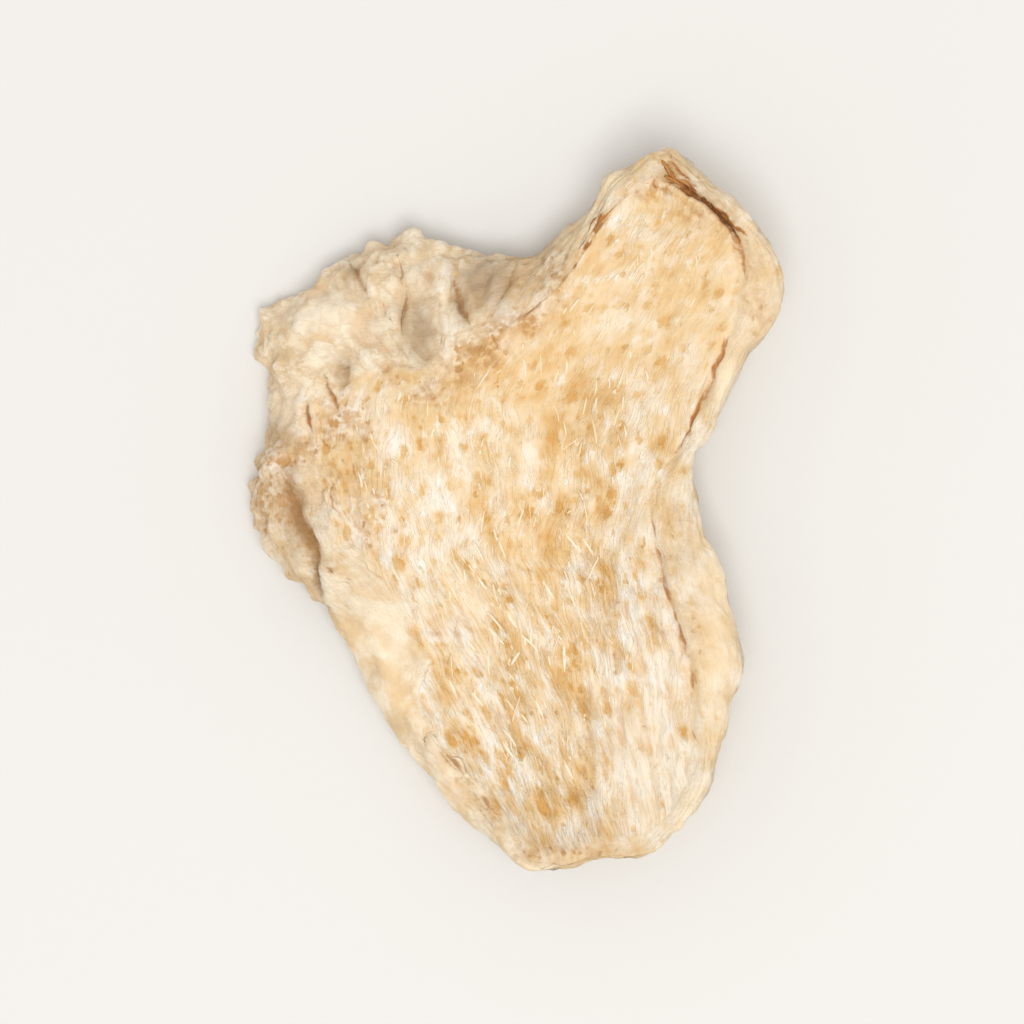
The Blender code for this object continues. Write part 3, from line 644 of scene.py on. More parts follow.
def rim_surface(rim, length):
    """Rows of the rim from the cut face over the lip, down the skin and in to the underside.

    Over the lip a point is the face's edge moved outwards by its reach, at the face's height less the
    groove's bell and plus the lip's smooth step. Down the skin and below it a row follows a superellipse,
    which is squarer on the right. Returns the points, and by row and column how near the open crack and
    the groove's brown line are (1 there, 0 at their edge, less beyond), and how far down the point lies:
    0 on the lip, 1 at the widest line and 2 where the underside starts.
    """
    turn = np.arange(len(rim)) / len(rim)
    outline, edge = rim[:, :2], rim[:, 2:4]
    lip, groove, widest, width_below = (column[None] for column in rim[:, 4:].T)
    outward = (outline - edge) / np.hypot(*(outline - edge).T)[:, None]
    ragged = 1 + 1.2 * smooth(-edge[:, 0], -1.0, 4.0)
    wobble = 0.09 * round_noise(turn, length, 1.9, 31) + 0.05 * round_noise(turn, length, 0.6, 32)
    edge = edge + outward * (ragged * wobble)[:, None]

    reach = np.array(LIP_REACHES)[:, None]
    crest = edge[None] + outward[None] * reach[..., None]
    split = smooth(groove, 0.26, 0.60)
    broken = 0.25 + 0.75 * smooth(round_noise(turn, length, 2.6, 34), -0.45, 0.35)
    groove = groove * np.maximum(broken, split)
    aside = np.abs(reach - 0.05 * round_noise(turn, length, 0.3, 37)[None])
    crest_heights = upper_height(crest[..., 0], crest[..., 1])
    crest_heights -= GROOVE_SHARE * groove * np.exp(-(((reach - GROOVE_PLACE) / GROOVE_WIDTH) ** 2))
    crest_heights -= CRACK_DEPTH * split * np.exp(-((aside / CRACK_WIDTH) ** 2))
    crest_heights += lip * smooth(reach, -0.3, 0.5)
    line = smooth(groove, 0.09, 0.24) * (0.75 + 0.5 * round_noise(turn, length, 0.8, 33))
    rows = [np.dstack([crest, crest_heights + lumps(crest[..., 0], crest[..., 1])])]
    cracks = split - aside / CRACK_REACH
    lines = line - np.abs(reach) / LINE_REACH

    way = FACE_CENTRE - outline
    under_edge = outline + way * (width_below.T / np.hypot(*way.T)[:, None])
    under_heights = under_height(*under_edge.T)
    top, top_heights = crest[-1], crest_heights[-1]
    widest_heights = under_heights + (top_heights - under_heights) * widest[0]
    roundness = SKIN_ROUNDNESS + (RIGHT_ROUNDNESS - SKIN_ROUNDNESS) * smooth(outline[:, 0], 3, 8)
    angle = (np.arange(1, SKIN_ROWS + 1) / SKIN_ROWS * np.pi / 2)[:, None]
    out = np.sin(angle) ** (2 / roundness)
    left = np.maximum(np.cos(angle), 0) ** (2 / roundness)
    places = top[None] + (outline - top)[None] * out[..., None]
    heights = widest_heights + (top_heights - widest_heights) * left
    rows.append(np.dstack([places, heights + lumps(places[..., 0], places[..., 1]) * left]))

    angle = (np.arange(1, UNDER_ROWS + 1) / UNDER_ROWS * np.pi / 2)[:, None]
    down = np.sin(angle) ** (2 / UNDER_ROUNDNESS)
    inward = 1 - np.maximum(np.cos(angle), 0) ** (2 / UNDER_ROUNDNESS)
    places = outline[None] + (under_edge - outline)[None] * inward[..., None]
    rows.append(np.dstack([places, widest_heights + (under_heights - widest_heights) * down]))

    depths = np.vstack([0 * lines, 1 - left, 1 + inward + 0 * lip])
    nothing = np.full((SKIN_ROWS + UNDER_ROWS, len(rim)), -1.0)
    return np.concatenate(rows), np.vstack([cracks, nothing]), np.vstack([lines, nothing]), depths


def face_surface(edge, height):
    """Points of a cut face: the edge's loop drawn in to the middle by each grid corner's share."""
    share, turn = square_of_loops(FACE_CELLS)
    places = FACE_CENTRE + (at_turn(edge, turn) - FACE_CENTRE) * share[:, None]
    return np.c_[places, height(*places.T)]


def surface_corners(rim_rows):
    """Numbers of the corners in the rim's rows, its two ends being the borders of the upper and the under
    grid, and the faces of all three."""
    side = FACE_CELLS + 1
    upper = np.arange(side * side).reshape(side, side)
    under = upper + side * side

    rim = 2 * side * side + np.arange((rim_rows - 2) * 4 * FACE_CELLS).reshape(rim_rows - 2, -1)
    rim = np.vstack([border(upper), rim, border(under)])

    def quads(grid):
        """The faces between a grid's corners."""
        return np.stack([grid[:-1, :-1], grid[:-1, 1:], grid[1:, 1:], grid[1:, :-1]], axis=-1).reshape(-1, 4)

    closed = np.c_[rim, rim[:, :1]]
    return rim, np.vstack([quads(upper), quads(under)[:, ::-1], quads(closed)[:, ::-1]])


def corner_normals(points, faces):
    """Unit normals at the corners, from the cross products of the faces' diagonals."""
    a, b, c, d = (points[faces[:, k]] for k in range(4))
    across = np.cross(c - a, d - b)
    total = np.stack(
        [np.bincount(faces.ravel(), np.repeat(part, 4), minlength=len(points)) for part in across.T], axis=1
    )
    return total / np.linalg.norm(total, axis=1)[:, None]


@lru_cache(maxsize=1)
def slice_surface():
    """The slice's moved points in millimetres, its faces, the values that its material reads at each corner,
    and the points before they were moved. Where it is skin they move by knobs, wrinkles, folds, pleats and
    crumbs, where it is flesh by waves, fibre ridges and pits, and in both by the small knobs and creases."""
    settings = bpy.context.scene.ginger_slice
    rim = closed_curve(RIM, 4 * FACE_CELLS)[::-1]
    length = np.hypot(*np.diff(rim[:, :2], axis=0, append=rim[:1, :2]).T).sum()
    rows, cracks, lines, depths = rim_surface(rim, length)
    upper = face_surface(rows[0][:, :2], lambda x, y: upper_height(x, y) + lumps(x, y))
    under = face_surface(rows[-1][:, :2], under_height)
    corners, faces = surface_corners(len(rows))
    count = len(upper)
    points = np.vstack([upper, under, rows[1:-1].reshape(-1, 3)])

    def on_corners(by_row, inside=0.0):
        """Spreads values given by row and column to all corners. The two faces' corners get the others."""
        values = np.zeros(len(points))
        values[: 2 * count] = inside
        values[corners] = by_row
        return values

    share, face_turn = square_of_loops(FACE_CELLS)
    across = np.cumsum(np.linalg.norm(np.diff(rows, axis=0, prepend=rows[:1]), axis=2), axis=0)
    inner = (1 - share) * np.hypot(*(at_turn(rows[0][:, :2], face_turn) - FACE_CENTRE).T)
    turn = np.broadcast_to(np.arange(rows.shape[1]) / rows.shape[1], across.shape)
    turn = on_corners(turn, np.tile(face_turn, 2))
    outer = np.interp(face_turn, turn[corners[-1]], across[-1], period=1) + inner
    across = on_corners(across, np.r_[-inner, outer])
    depth = on_corners(depths, np.repeat([0.0, 2.0], count))
    angle = 2 * np.pi * turn
    radius = length / (2 * np.pi)
    normals = corner_normals(points, faces)
    x, y, z = points.T
    below = np.arange(len(points)) // count == 1

    def round_rim(stretch=1.0, widen=1.0):
        """Places on the rim that are closer together round it or across it, so that noise is stretched."""
        ring = radius / stretch
        return np.c_[ring * np.cos(angle), ring * np.sin(angle), across / widen]

    left, far_left = smooth(-x, -2.0, 3.0), smooth(-x, -1.0, 5.0)
    shoulder = left * smooth(y, -2.0, 4.0)
    ragged = (0.25 + 0.75 * left) * (0.8 * noise(points, 2.0, 46) + 0.45 * noise(points, 0.7, 47))
    ragged -= 0.7 * left * np.exp(-(((y - 2.0) / 3.2) ** 2))
    skin = smooth(across + LIP_REACHES[0] + ragged, -0.35 - 0.5 * shoulder, 0.25 + 0.5 * shoulder)
    skin *= 1 - smooth(depth, 1.7, 2.0)
    calm = 1 - 0.8 * np.minimum(bells(x, y, CALM_SKIN), 1)
    knobs = settings.knob_height * noise(points, 2.3, 11)
    knobs += (settings.wrinkle_height + 0.14 * shoulder) * noise(points, 1.25, 12)
    folds = settings.fold_height * puffs(round_rim(2.2), 0.95, 41) * smooth(across, 0.9, 2.4)
    folds *= 1 - 0.6 * smooth(-y, 11.0, 14.0)
    pleats = settings.pleat_height * puffs(round_rim(widen=4), 1.5, 43) * shoulder * smooth(across, 0.2, 2.0)
    crinkles = (0.11 - 0.04 * shoulder) * puffs(round_rim(1.8), 0.42, 42) + 0.04 * noise(points, 0.26, 44)
    crumbs = settings.crumb_height * puffs(points, 0.85, 48) * far_left
    crumbs *= 1 + 0.5 * shoulder
    crumbs += 0.14 * puffs(points, 0.55, 49) * shoulder
    edge_knobs = 0.14 * noise(points, 0.8, 45) * far_left
    crease_depth, crease_brown = creases(points)
    pushed = bells(x, y, [(a, b, reach, reach, push) for a, b, reach, push in KNOBS]) - crease_depth
    bark = calm * (knobs + folds + 0.5 * pleats + crinkles + crumbs + edge_knobs)

    u, v = grain_places(x, y)
    layer = np.where(below, UNDER_LAYER, 0.0)
    foot = smooth(-y, -4.0, 7.0)
    ridges = noise(np.c_[u / 0.30, v / 1.5, layer], 1.0, 51)
    bundles = noise(np.c_[u / 0.62, v / 2.2, layer], 1.0, 52)
    crumb = noise(points, 0.34, 53)
    pits = 1 - smooth(dots(np.c_[u, v * 0.72, layer], 0.62, 54), 0.16, 0.42)
    pits *= smooth(noise(points, 1.6, 55), -0.25, 0.25)
    fine_flesh = settings.fibre_height * ((0.35 + foot) * ridges + (0.7 + 0.5 * foot) * bundles)
    fine_flesh += 0.035 * crumb - settings.pit_depth * pits
    flesh = 0.20 * noise(points, 3.4, 13) + 0.07 * noise(points, 1.3, 56) + fine_flesh

    clear = np.where(normals[:, 2] < 0.2, np.clip(z / CLEAR_HEIGHT, 0, 1), 1.0)
    on_top = 1 - smooth(depth, 1.0, 1.6)
    shift = (skin * bark + (1 - skin) * flesh + pushed * (1 - below)) * clear
    moved = points + normals * shift[:, None]
    moved[:, 2] = np.maximum(moved[:, 2], 0.0)
    # Relief for the colour: painted shade in its hollows, wear on its ridges.
    bark_relief = skin * calm * (crinkles + crumbs + 0.6 * folds + 0.6 * knobs) / SKIN_STEP
    flesh_relief = (1 - skin) * fine_flesh * (1 + 0.8 * foot) / FLESH_STEP
    right = smooth(x + 2.5 * smooth(y, 9.0, 13.0), 0.0, 6.0)
    values = {
        "skin": skin,
        # Where the crack's painted dark shade goes, and the groove's brown line.
        "crack": on_corners(cracks, -1.0),
        "fold_line": on_corners(lines, -1.0),
        "skin_tone": 1 - 0.85 * right * (1 - smooth(depth, 0.45, 1.0)),
        "relief": bark_relief + flesh_relief,
        "pits": (1 - skin) * pits,
        "rough_skin": calm - 0.35 * shoulder + (1 - left) * smooth(depth, 0.5, 0.9),
        "facets": 0.15 + 0.85 * shoulder,
        "contrast": 1 - 0.38 * smooth(y, 3.0, 8.0) + bells(x, y, BUSY_FLESH),
        "crease": np.where(below, -1.0, crease_brown),
        "brown": on_top * bells(x, y, BROWN_STAINS),
        # Grey painted shade in the dips and on shaded walls.
        "grey": on_top * bells(x, y, GREY_SHADE),
        "pale": on_top * bells(x, y, PALE_STAINS),
        "golden": on_top * bells(x, y, GOLDEN_STAINS),
        "grain_place": np.c_[u, v, layer],
        "speck_place": np.c_[*speck_places(u, y), layer],
        "rim_place": round_rim(),
    }
    return moved, faces, values, points


def read_grid(grid, places):
    """Values of a square grid at places counted in cells, straight between its corners."""
    low = np.clip(np.floor(places).astype(int), 0, len(grid) - 2)
    s, t = (places - low)[..., :1], (places - low)[..., 1:]
    column, row = low[..., 0], low[..., 1]
    near = grid[row, column] * (1 - s) + grid[row, column + 1] * s
    far = grid[row + 1, column] * (1 - s) + grid[row + 1, column + 1] * s
    return near * (1 - t) + far * t


def grain_directions(x, y):
    """Direction of the fibres at each place, as an angle: the way that keeps the grain's first part."""
    ahead = 0.5
    there = np.interp(y + ahead, GRAIN_Y, GRAIN_CENTRE) - np.interp(y, GRAIN_Y, GRAIN_CENTRE)
    wider = np.interp(y + ahead, GRAIN_Y, GRAIN_WIDTH) / np.interp(y, GRAIN_Y, GRAIN_WIDTH)
    aside = there + (x - np.interp(y, GRAIN_Y, GRAIN_CENTRE)) * (wider - 1)
    return np.arctan2(ahead, aside)


def tubes(paths, sides, ups, radii):
    """Closed tubes along paths, with four corners round each path's point: out to the sides and up and down
    by the radii. Returns all points and the faces."""
    ring = [sides, ups, -sides, -ups]
    points = np.stack([paths + way * radii[..., None] for way in ring], axis=2)
    count, steps = paths.shape[:2]
    number = np.arange(points[..., 0].size).reshape(count, steps, 4)
    onward = np.roll(number, -1, axis=2)
    walls = np.stack([number[:, 1:], onward[:, 1:], onward[:, :-1], number[:, :-1]], axis=-1)
    ends = np.concatenate([number[:, 0], number[:, -1, ::-1]])
    return points.reshape(-1, 3), np.vstack([walls.reshape(-1, 4), ends])


def places_in_grid(edge, places):
    """Where plan places lie in a cut face's grid, in cells, with their share of the way to its edge.

    The edge's loop gives the turn that faces each direction from the middle, and its distance there.
    """
    spokes = edge - FACE_CENTRE
    bearings = np.unwrap(np.arctan2(spokes[:, 1], spokes[:, 0]))
    bearings = np.maximum.accumulate(bearings - bearings[0])
    start = np.arctan2(spokes[0, 1], spokes[0, 0])
    way = places - FACE_CENTRE
    bearing = (np.arctan2(way[..., 1], way[..., 0]) - start) % (2 * np.pi)
    turn = np.interp(bearing, np.r_[bearings, 2 * np.pi], np.arange(len(edge) + 1) / len(edge))
    reach = np.hypot(*np.moveaxis(at_turn(spokes, turn.ravel()).reshape(*turn.shape, 2), -1, 0))
    share = np.hypot(way[..., 0], way[..., 1]) / reach
    quarter = turn * 4
    sides = [quarter < 1, quarter < 2, quarter < 3]
    column = np.select(sides, [1 + 0 * quarter, 3 - 2 * quarter, -1 + 0 * quarter], 2 * quarter - 7)
    row = np.select(sides, [2 * quarter - 1, 1 + 0 * quarter, 5 - 2 * quarter], -1)
    return (np.stack([column, row], axis=-1) * share[..., None] + 1) / 2 * FACE_CELLS, share


def fibre_surface(settings):
    """Loose fibres on both cut faces. Each follows the grain from a random place, bends a little, and is a
    thin tube half sunk in the flesh, tapered at both ends. Some lift off at one end. Where the slice rests
    there are none."""
    moved, faces, _, base = slice_surface()
    normals = corner_normals(moved, faces)
    size = (FACE_CELLS + 1) ** 2
    random = np.random.default_rng(FIBRE_SEED)
    part = np.linspace(0, 1, FIBRE_STEPS)
    results = []
    firsts, counts = (0, size), (settings.upper_count, settings.under_count)
    for first, count, thinned in zip(firsts, counts, THINNED):
        moved_grid, normal_grid = (
            values[first : first + size].reshape(FACE_CELLS + 1, -1, 3) for values in (moved, normals)
        )
        grid = base[first : first + size, :2].reshape(FACE_CELLS + 1, -1, 2)
        edge = border(grid)
        feet = read_grid(grid, random.uniform(FACE_MARGIN, 1 - FACE_MARGIN, (3 * count, 2)) * FACE_CELLS)
        feet = feet[random.uniform(size=len(feet)) < 1 - thinned * smooth(feet[:, 1], -6.0, 3.0)]
        feet = feet[: count + count // 3]
        number = len(feet)
        stray = (random.uniform(size=number) < STRAY_SHARE) * random.uniform(-STRAY_TURN, STRAY_TURN, number)
        angle = grain_directions(*feet.T) + random.normal(0, 0.12, number) + stray
        bend = random.normal(0, 0.4, number)
        length = settings.longest * (0.18 + 0.82 * random.uniform(size=number) ** 2.4)
        thick = settings.thickest * (0.4 + 0.6 * random.uniform(size=number))
        lift = (random.uniform(size=number) < LIFTED_SHARE) * random.uniform(*LIFTS, number)
        hairs = np.array(HAIRS if first == 0 else []).reshape(-1, 4)
        ahead = hairs[:, 2:] - hairs[:, :2]
        feet = np.vstack([hairs[:, :2], feet])
        angle = np.r_[np.arctan2(ahead[:, 1], ahead[:, 0]), angle]
        length = np.r_[np.hypot(*ahead.T), length]
        thick = np.r_[np.full(len(hairs), HAIR_THICKNESS * settings.thickest), thick]
        bend = np.r_[np.full(len(hairs), HAIR_BEND), bend]
        lift = np.r_[np.zeros(len(hairs)), lift]
        number = len(feet)
        turned = angle[:, None] + bend[:, None] * part[1:]
        ways = np.stack([np.cos(turned), np.sin(turned)], axis=-1) * (length / len(part))[:, None, None]
        plan = feet[:, None] + np.concatenate([np.zeros((number, 1, 2)), np.cumsum(ways, axis=1)], axis=1)
        places, share = places_in_grid(edge, plan)
        kept = np.flatnonzero(share.max(axis=1) < 1 - FACE_MARGIN)[:count]
        places, thick, lift = places[kept], thick[kept, None], lift[kept, None]
        paths, ups = read_grid(moved_grid, places), read_grid(normal_grid, places)
        off_floor = paths[..., 2].min(axis=1) > REST_GAP
        kept, paths, ups, thick, lift = (values[off_floor] for values in (kept, paths, ups, thick, lift))
        ups /= np.linalg.norm(ups, axis=2)[..., None]
        rise = lift * smooth(part, 0.4, 1.0) - thick * (0.1 + 0.8 * (1 - part) ** 4 + 0.8 * part**6)
        paths = paths + ups * rise[..., None]
        sides = np.cross(np.gradient(paths, axis=1), ups)
        sides /= np.linalg.norm(sides, axis=2)[..., None] + TINY
        radii = thick * (0.15 + 0.85 * np.sqrt(np.sin(np.pi * (0.06 + 0.88 * part))))
        points, quads = tubes(paths, sides, 0.6 * ups, radii)
        tones = np.where(kept < len(hairs), 1.0, random.uniform(size=len(kept)))
        results.append((points, quads, np.repeat(tones, FIBRE_STEPS * 4)))
    return joined(*results)


def joined(*parts):
    """Joins meshes, each given by its points, its faces and one value for each point."""
    starts = np.cumsum([0, *(len(part[0]) for part in parts)])
    points = np.vstack([part[0] for part in parts])
    points[:, 2] = np.maximum(points[:, 2], 0.0)
    faces = np.vstack([part[1] + start for part, start in zip(parts, starts)])
    return points, faces, {"tone": np.concatenate([part[2] for part in parts])}


def ribbon_surface(feet, ups, ways, lengths, widths, lifts, tones):
    """Thin curled ribbons with ragged sides: each leaves its foot along its way, lifts by the square of the
    distance, wavers from side to side, and narrows to its tip."""
    random = np.random.default_rng(RIBBON_SEED)
    part = np.linspace(0, 1, RIBBON_STEPS)[None, :, None]
    ways = ways - ups * (ways * ups).sum(axis=1)[:, None]
    ways /= np.linalg.norm(ways, axis=1)[:, None]
    ways, ups = ways[:, None], ups[:, None]
    cross = np.cross(ways, ups)
    lengths, widths, lifts = (values[:, None, None] for values in (lengths, widths, lifts))
    wave = 0.06 * lengths * np.sin(part * 4 + lengths * 9)
    paths = feet[:, None] + ways * lengths * part + ups * (lifts * part**2) + cross * wave
    ragged = random.uniform(0.6, 1.25, (len(feet), RIBBON_STEPS, 1))
    taper = ragged * np.sqrt(np.maximum(1 - part**3, 0.01)) * (0.6 + 0.4 * np.minimum(part * 4, 1))
    twist = random.uniform(-0.3, 0.3, (len(feet), 1, 1)) * part
    wide = cross * np.cos(twist) + ups * np.sin(twist)
    flat = (ups * np.cos(twist) - cross * np.sin(twist)) * RIBBON_FLATNESS
    points, faces = tubes(paths, wide, flat, (widths / 2 * taper)[..., 0])
    return points, faces, np.repeat(tones, RIBBON_STEPS * 4)


def surface_mesh(name, points, faces, values):
    """A smooth mesh in metres from points in millimetres, quads or triangles, and values at its corners."""
    data = bpy.data.meshes.new(name)
    data.from_pydata(points * MM, [], faces)
    for key, value in values.items():
        kind = "FLOAT" if value.ndim == 1 else "FLOAT_VECTOR"
        layer = data.attributes.new(key, kind, "POINT")
        layer.data.foreach_set("value" if value.ndim == 1 else "vector", value.ravel().astype(np.float32))
    data.shade_smooth()
    piece = bpy.data.objects.new(name, data)
    bpy.context.scene.collection.objects.link(piece)
    return piece


def add_node(tree, kind, inputs=None, **settings):
    """Adds a node to the tree, with its settings, and gives each named input a value or a link."""
    node = tree.nodes.new(kind)
    node.location = (190 * (len(tree.nodes) % 12), -220 * (len(tree.nodes) // 12))
    for name, value in settings.items():
        setattr(node, name, value)
    for key, value in (inputs or {}).items():
        if isinstance(value, bpy.types.NodeSocket):
            tree.links.new(value, node.inputs[key])
        else:
            node.inputs[key].default_value = value
    return node


def maths(tree, operation, first, second=0.0, third=0.0):
    """What one sum, product or other operation gives."""
    return add_node(tree, "ShaderNodeMath", {0: first, 1: second, 2: third}, operation=operation).outputs[0]


def times(tree, first, second):
    """The product of two values."""
    return maths(tree, "MULTIPLY", first, second)


def step_between(tree, value, low, high):
    """0 below low, 1 above high, smooth between. With low above high it falls instead."""
    inputs = {"Value": value, "From Min": low, "From Max": high}
    return add_node(tree, "ShaderNodeMapRange", inputs, interpolation_type="SMOOTHSTEP").outputs[0]


def blended(tree, share, first, second):
    """The first value, with a share of the second mixed in."""
    return add_node(tree, "ShaderNodeMix", {0: share, 2: first, 3: second}).outputs[0]


def mixed(tree, share, first, second):
    """The first colour, with a share of the second mixed in."""
    inputs = {"Factor": share, 6: first, 7: second}
    return add_node(tree, "ShaderNodeMix", inputs, data_type="RGBA").outputs[2]


def scaled(tree, place, x, y, z):
    """The place with each of its three parts multiplied."""
    return add_node(tree, "ShaderNodeVectorMath", {0: place, 1: (x, y, z)}, operation="MULTIPLY").outputs[0]


def moved_by(tree, place, shift):
    """The place with the shift added."""
    return add_node(tree, "ShaderNodeVectorMath", {0: place, 1: shift}, operation="ADD").outputs[0]


def object_place(tree):
    """Object coordinates in millimetres."""
    place = add_node(tree, "ShaderNodeTexCoord").outputs["Object"]
    return scaled(tree, place, 1 / MM, 1 / MM, 1 / MM)


def weighted(tree, *terms, start=0.0):
    """The start plus the sum of each value times its weight."""
    total = start
    for value, weight in terms:
        total = maths(tree, "MULTIPLY_ADD", value, weight, total)
    return total


def ramp(tree, value, stops):
    """A colour that runs through the stops, each given by its value and its colour."""
    node = add_node(tree, "ShaderNodeValToRGB", {"Fac": value})
    elements = node.color_ramp.elements
    while len(elements) < len(stops):
        elements.new(0.5)
    for element, (place, colour) in zip(elements, stops):
        element.position = place
        element.color = colour
    return node.outputs["Color"]


def noise_node(tree, place, scale, detail=3.0, roughness=0.55, distortion=0.0):
    """The outputs of a noise texture at the place: its value and its colour."""
    inputs = {"Vector": place, "Scale": scale, "Detail": detail, "Roughness": roughness}
    return add_node(tree, "ShaderNodeTexNoise", {**inputs, "Distortion": distortion}).outputs


def noise_value(tree, place, *shape):
    """The value of a noise texture at the place."""
    return noise_node(tree, place, *shape)["Fac"]


def shaken(tree, place, scale, roughness, reach):
    """The place, moved by a noise texture's colour times the reach."""
    shake = noise_node(tree, place, scale, 3.0, roughness)["Color"]
    return moved_by(tree, place, scaled(tree, shake, reach, reach, reach))


def first_channels(tree, colour):
    """The red, green and blue of a colour."""
    return add_node(tree, "ShaderNodeSeparateColor", {0: colour}).outputs


def new_group(name, inputs, outputs):
    """An empty shader node group with named sockets, whose kinds are Vector, Float or Color. Returns the
    group, its input node's outputs and a function that fills its outputs."""
    group = bpy.data.node_groups.new(name, "ShaderNodeTree")
    for label, kind, value in inputs:
        socket = group.interface.new_socket(label, in_out="INPUT", socket_type="NodeSocket" + kind)
        if value is not None:
            socket.default_value = value
    for label, kind in outputs:
        group.interface.new_socket(label, in_out="OUTPUT", socket_type="NodeSocket" + kind)
    entry = group.nodes.new("NodeGroupInput")

    def give(**results):
        """Fills the outputs, which are named with _ for each space."""
        add_node(group, "NodeGroupOutput", {key.replace("_", " "): value for key, value in results.items()})

    return group, entry.outputs, give


def grain_group():
    """Fine fibre grain: pale and dark streaks along the second axis of the place, with their height."""
    group, entry, give = new_group(
        "ginger_grain",
        [("Place", "Vector", None), ("Fineness", "Float", 1.0)],
        [("Streaks", "Float"), ("Height", "Float")],
    )
    fineness = entry["Fineness"]
    warp = times(group, noise_value(group, entry["Place"], 0.28, 2.0, 0.45), 1.6)
    bend = add_node(group, "ShaderNodeCombineXYZ", {0: warp}).outputs[0]
    place = moved_by(group, entry["Place"], bend)
    broad = noise_value(group, scaled(group, place, 1.7, 0.30, 1.0), fineness, 2.0)
    thin = noise_value(group, scaled(group, place, 4.6, 0.55, 1.0), fineness, 3.0, 0.6)
    hair = noise_value(group, scaled(group, place, 13.0, 1.0, 1.0), fineness, 3.0, 0.65)
    crumb = noise_value(group, scaled(group, place, 6.0, 5.0, 1.0), fineness, 4.0, 0.7)
    strand = step_between(group, maths(group, "ABSOLUTE", maths(group, "SUBTRACT", thin, 0.5)), 0.035, 0.0)
    fine = weighted(group, (hair, 0.5), (crumb, 0.5))
    streaks = step_between(group, weighted(group, (broad, 0.35), (thin, 0.25), (fine, 0.4)), 0.40, 0.60)
    streaks = maths(group, "MAXIMUM", streaks, times(group, strand, 0.9))
    give(Streaks=streaks, Height=weighted(group, (fine, 1.0), (strand, 0.18), (thin, 0.4)))
    return group


def speck_group():
    """Oil specks: soft ragged blots, at most one to a cell. Some cells have none."""
    group, entry, give = new_group(
        "ginger_specks",
        [("Place", "Vector", None), ("Spacing", "Float", 1.0), ("Share", "Float", 0.6)],
        [("Specks", "Float")],
    )
    finer = {0: entry["Place"], 3: maths(group, "DIVIDE", 1.0, entry["Spacing"])}
    place = add_node(group, "ShaderNodeVectorMath", finer, operation="SCALE").outputs[0]
    place = shaken(group, place, 2.6, 0.6, 0.75)
    cells = {"Vector": place, "Scale": 1.0, "Randomness": 1.0}
    cells = add_node(group, "ShaderNodeTexVoronoi", cells).outputs
    chance = first_channels(group, cells["Color"])
    reach = weighted(group, (chance[0], 0.26), start=0.14)
    blot = step_between(group, maths(group, "DIVIDE", cells["Distance"], reach), 1.4, 0.35)
    give(Specks=times(group, blot, maths(group, "LESS_THAN", chance[1], entry["Share"])))
    return group


def shade_and_wear_group():
    """Painted shade in the hollows and wear on the ridges: darkens the colour where the relief is low, as
    shade, and lightens it where the relief is high."""
    group, entry, give = new_group(
        "ginger_shade_and_wear",
        [
            ("Colour", "Color", None),
            ("Relief", "Float", 0.0),
            ("Hollow Colour", "Color", (0.3, 0.15, 0.06, 1)),
            ("Ridge Colour", "Color", (1, 0.9, 0.7, 1)),
            ("Strength", "Float", 0.5),
        ],
        [("Colour", "Color")],
    )
    # Painted shade: the share of the hollow colour where the relief is low.
    low = times(group, step_between(group, entry["Relief"], -0.1, -1.1), entry["Strength"])
    high = times(group, step_between(group, entry["Relief"], 0.1, 1.0), entry["Strength"])
    darker = mixed(group, low, entry["Colour"], entry["Hollow Colour"])
    give(Colour=mixed(group, high, darker, entry["Ridge Colour"]))
    return group


def skin_group():
    """Dried skin: cream, tan and shaded blotches and fine scaly lines round the rim, with their height."""
    group, entry, give = new_group(
        "ginger_skin",
        [
            ("Place", "Vector", None),
            ("Light", "Color", None),
            ("Tan", "Color", None),
            ("Dark", "Color", None),
            ("Facets", "Float", 0.3),
        ],
        [("Colour", "Color"), ("Height", "Float"), ("Sheen", "Float")],
    )
    place = entry["Place"]
    facet = {"Vector": shaken(group, place, 1.6, 0.5, 0.9), "Scale": 0.9, "Randomness": 1.0}
    edge = add_node(group, "ShaderNodeTexVoronoi", facet, feature="DISTANCE_TO_EDGE").outputs["Distance"]
    facet_tone = first_channels(group, add_node(group, "ShaderNodeTexVoronoi", facet).outputs["Color"])[0]
    outline = times(group, step_between(group, edge, 0.12, 0.0), entry["Facets"])
    paler = times(group, step_between(group, facet_tone, 0.45, 1.0), entry["Facets"])
    blotches = noise_value(group, place, 0.8, 4.0, 0.6)
    lines = noise_value(group, scaled(group, place, 0.9, 0.9, 4.6), 1.6, 4.0, 0.62, 0.4)
    grit = noise_value(group, place, 6.5, 3.0, 0.65)
    crests = maths(group, "ABSOLUTE", maths(group, "SUBTRACT", lines, 0.5))
    dull = step_between(group, weighted(group, (blotches, 0.6), (grit, 0.4)), 0.58, 0.36)
    line_shade = step_between(group, crests, 0.05, 0.0)
    shade = weighted(group, (dull, 0.36), (line_shade, 0.08), (outline, 0.50), (paler, -0.36))
    shade = maths(group, "MAXIMUM", shade, 0.0)
    height = weighted(group, (crests, 0.9), (grit, 0.40))
    patches = step_between(group, noise_value(group, place, 0.55, 3.0, 0.6), 0.44, 0.62)
    patches = times(group, patches, maths(group, "SUBTRACT", 1.0, paler))
    ground = mixed(group, patches, entry["Light"], entry["Tan"])
    give(Colour=mixed(group, shade, ground, entry["Dark"]), Height=height, Sheen=blotches)
    return group


def with_alpha(colour):
    """The colour as a socket takes it."""
    return (*colour, 1.0)


def palette(settings):
    """The settings' colours as sockets take them, by their names less the last word."""
    names = [name for name in settings.__annotations__ if name.endswith("_colour")]
    return {name.removesuffix("_colour"): with_alpha(getattr(settings, name)) for name in names}


def use_group(tree, group, **inputs):
    """Places a shared group, whose inputs are named with _ for each space, and gives its outputs."""
    inputs = {name.replace("_", " "): value for name, value in inputs.items()}
    return add_node(tree, "ShaderNodeGroup", inputs, node_tree=group).outputs


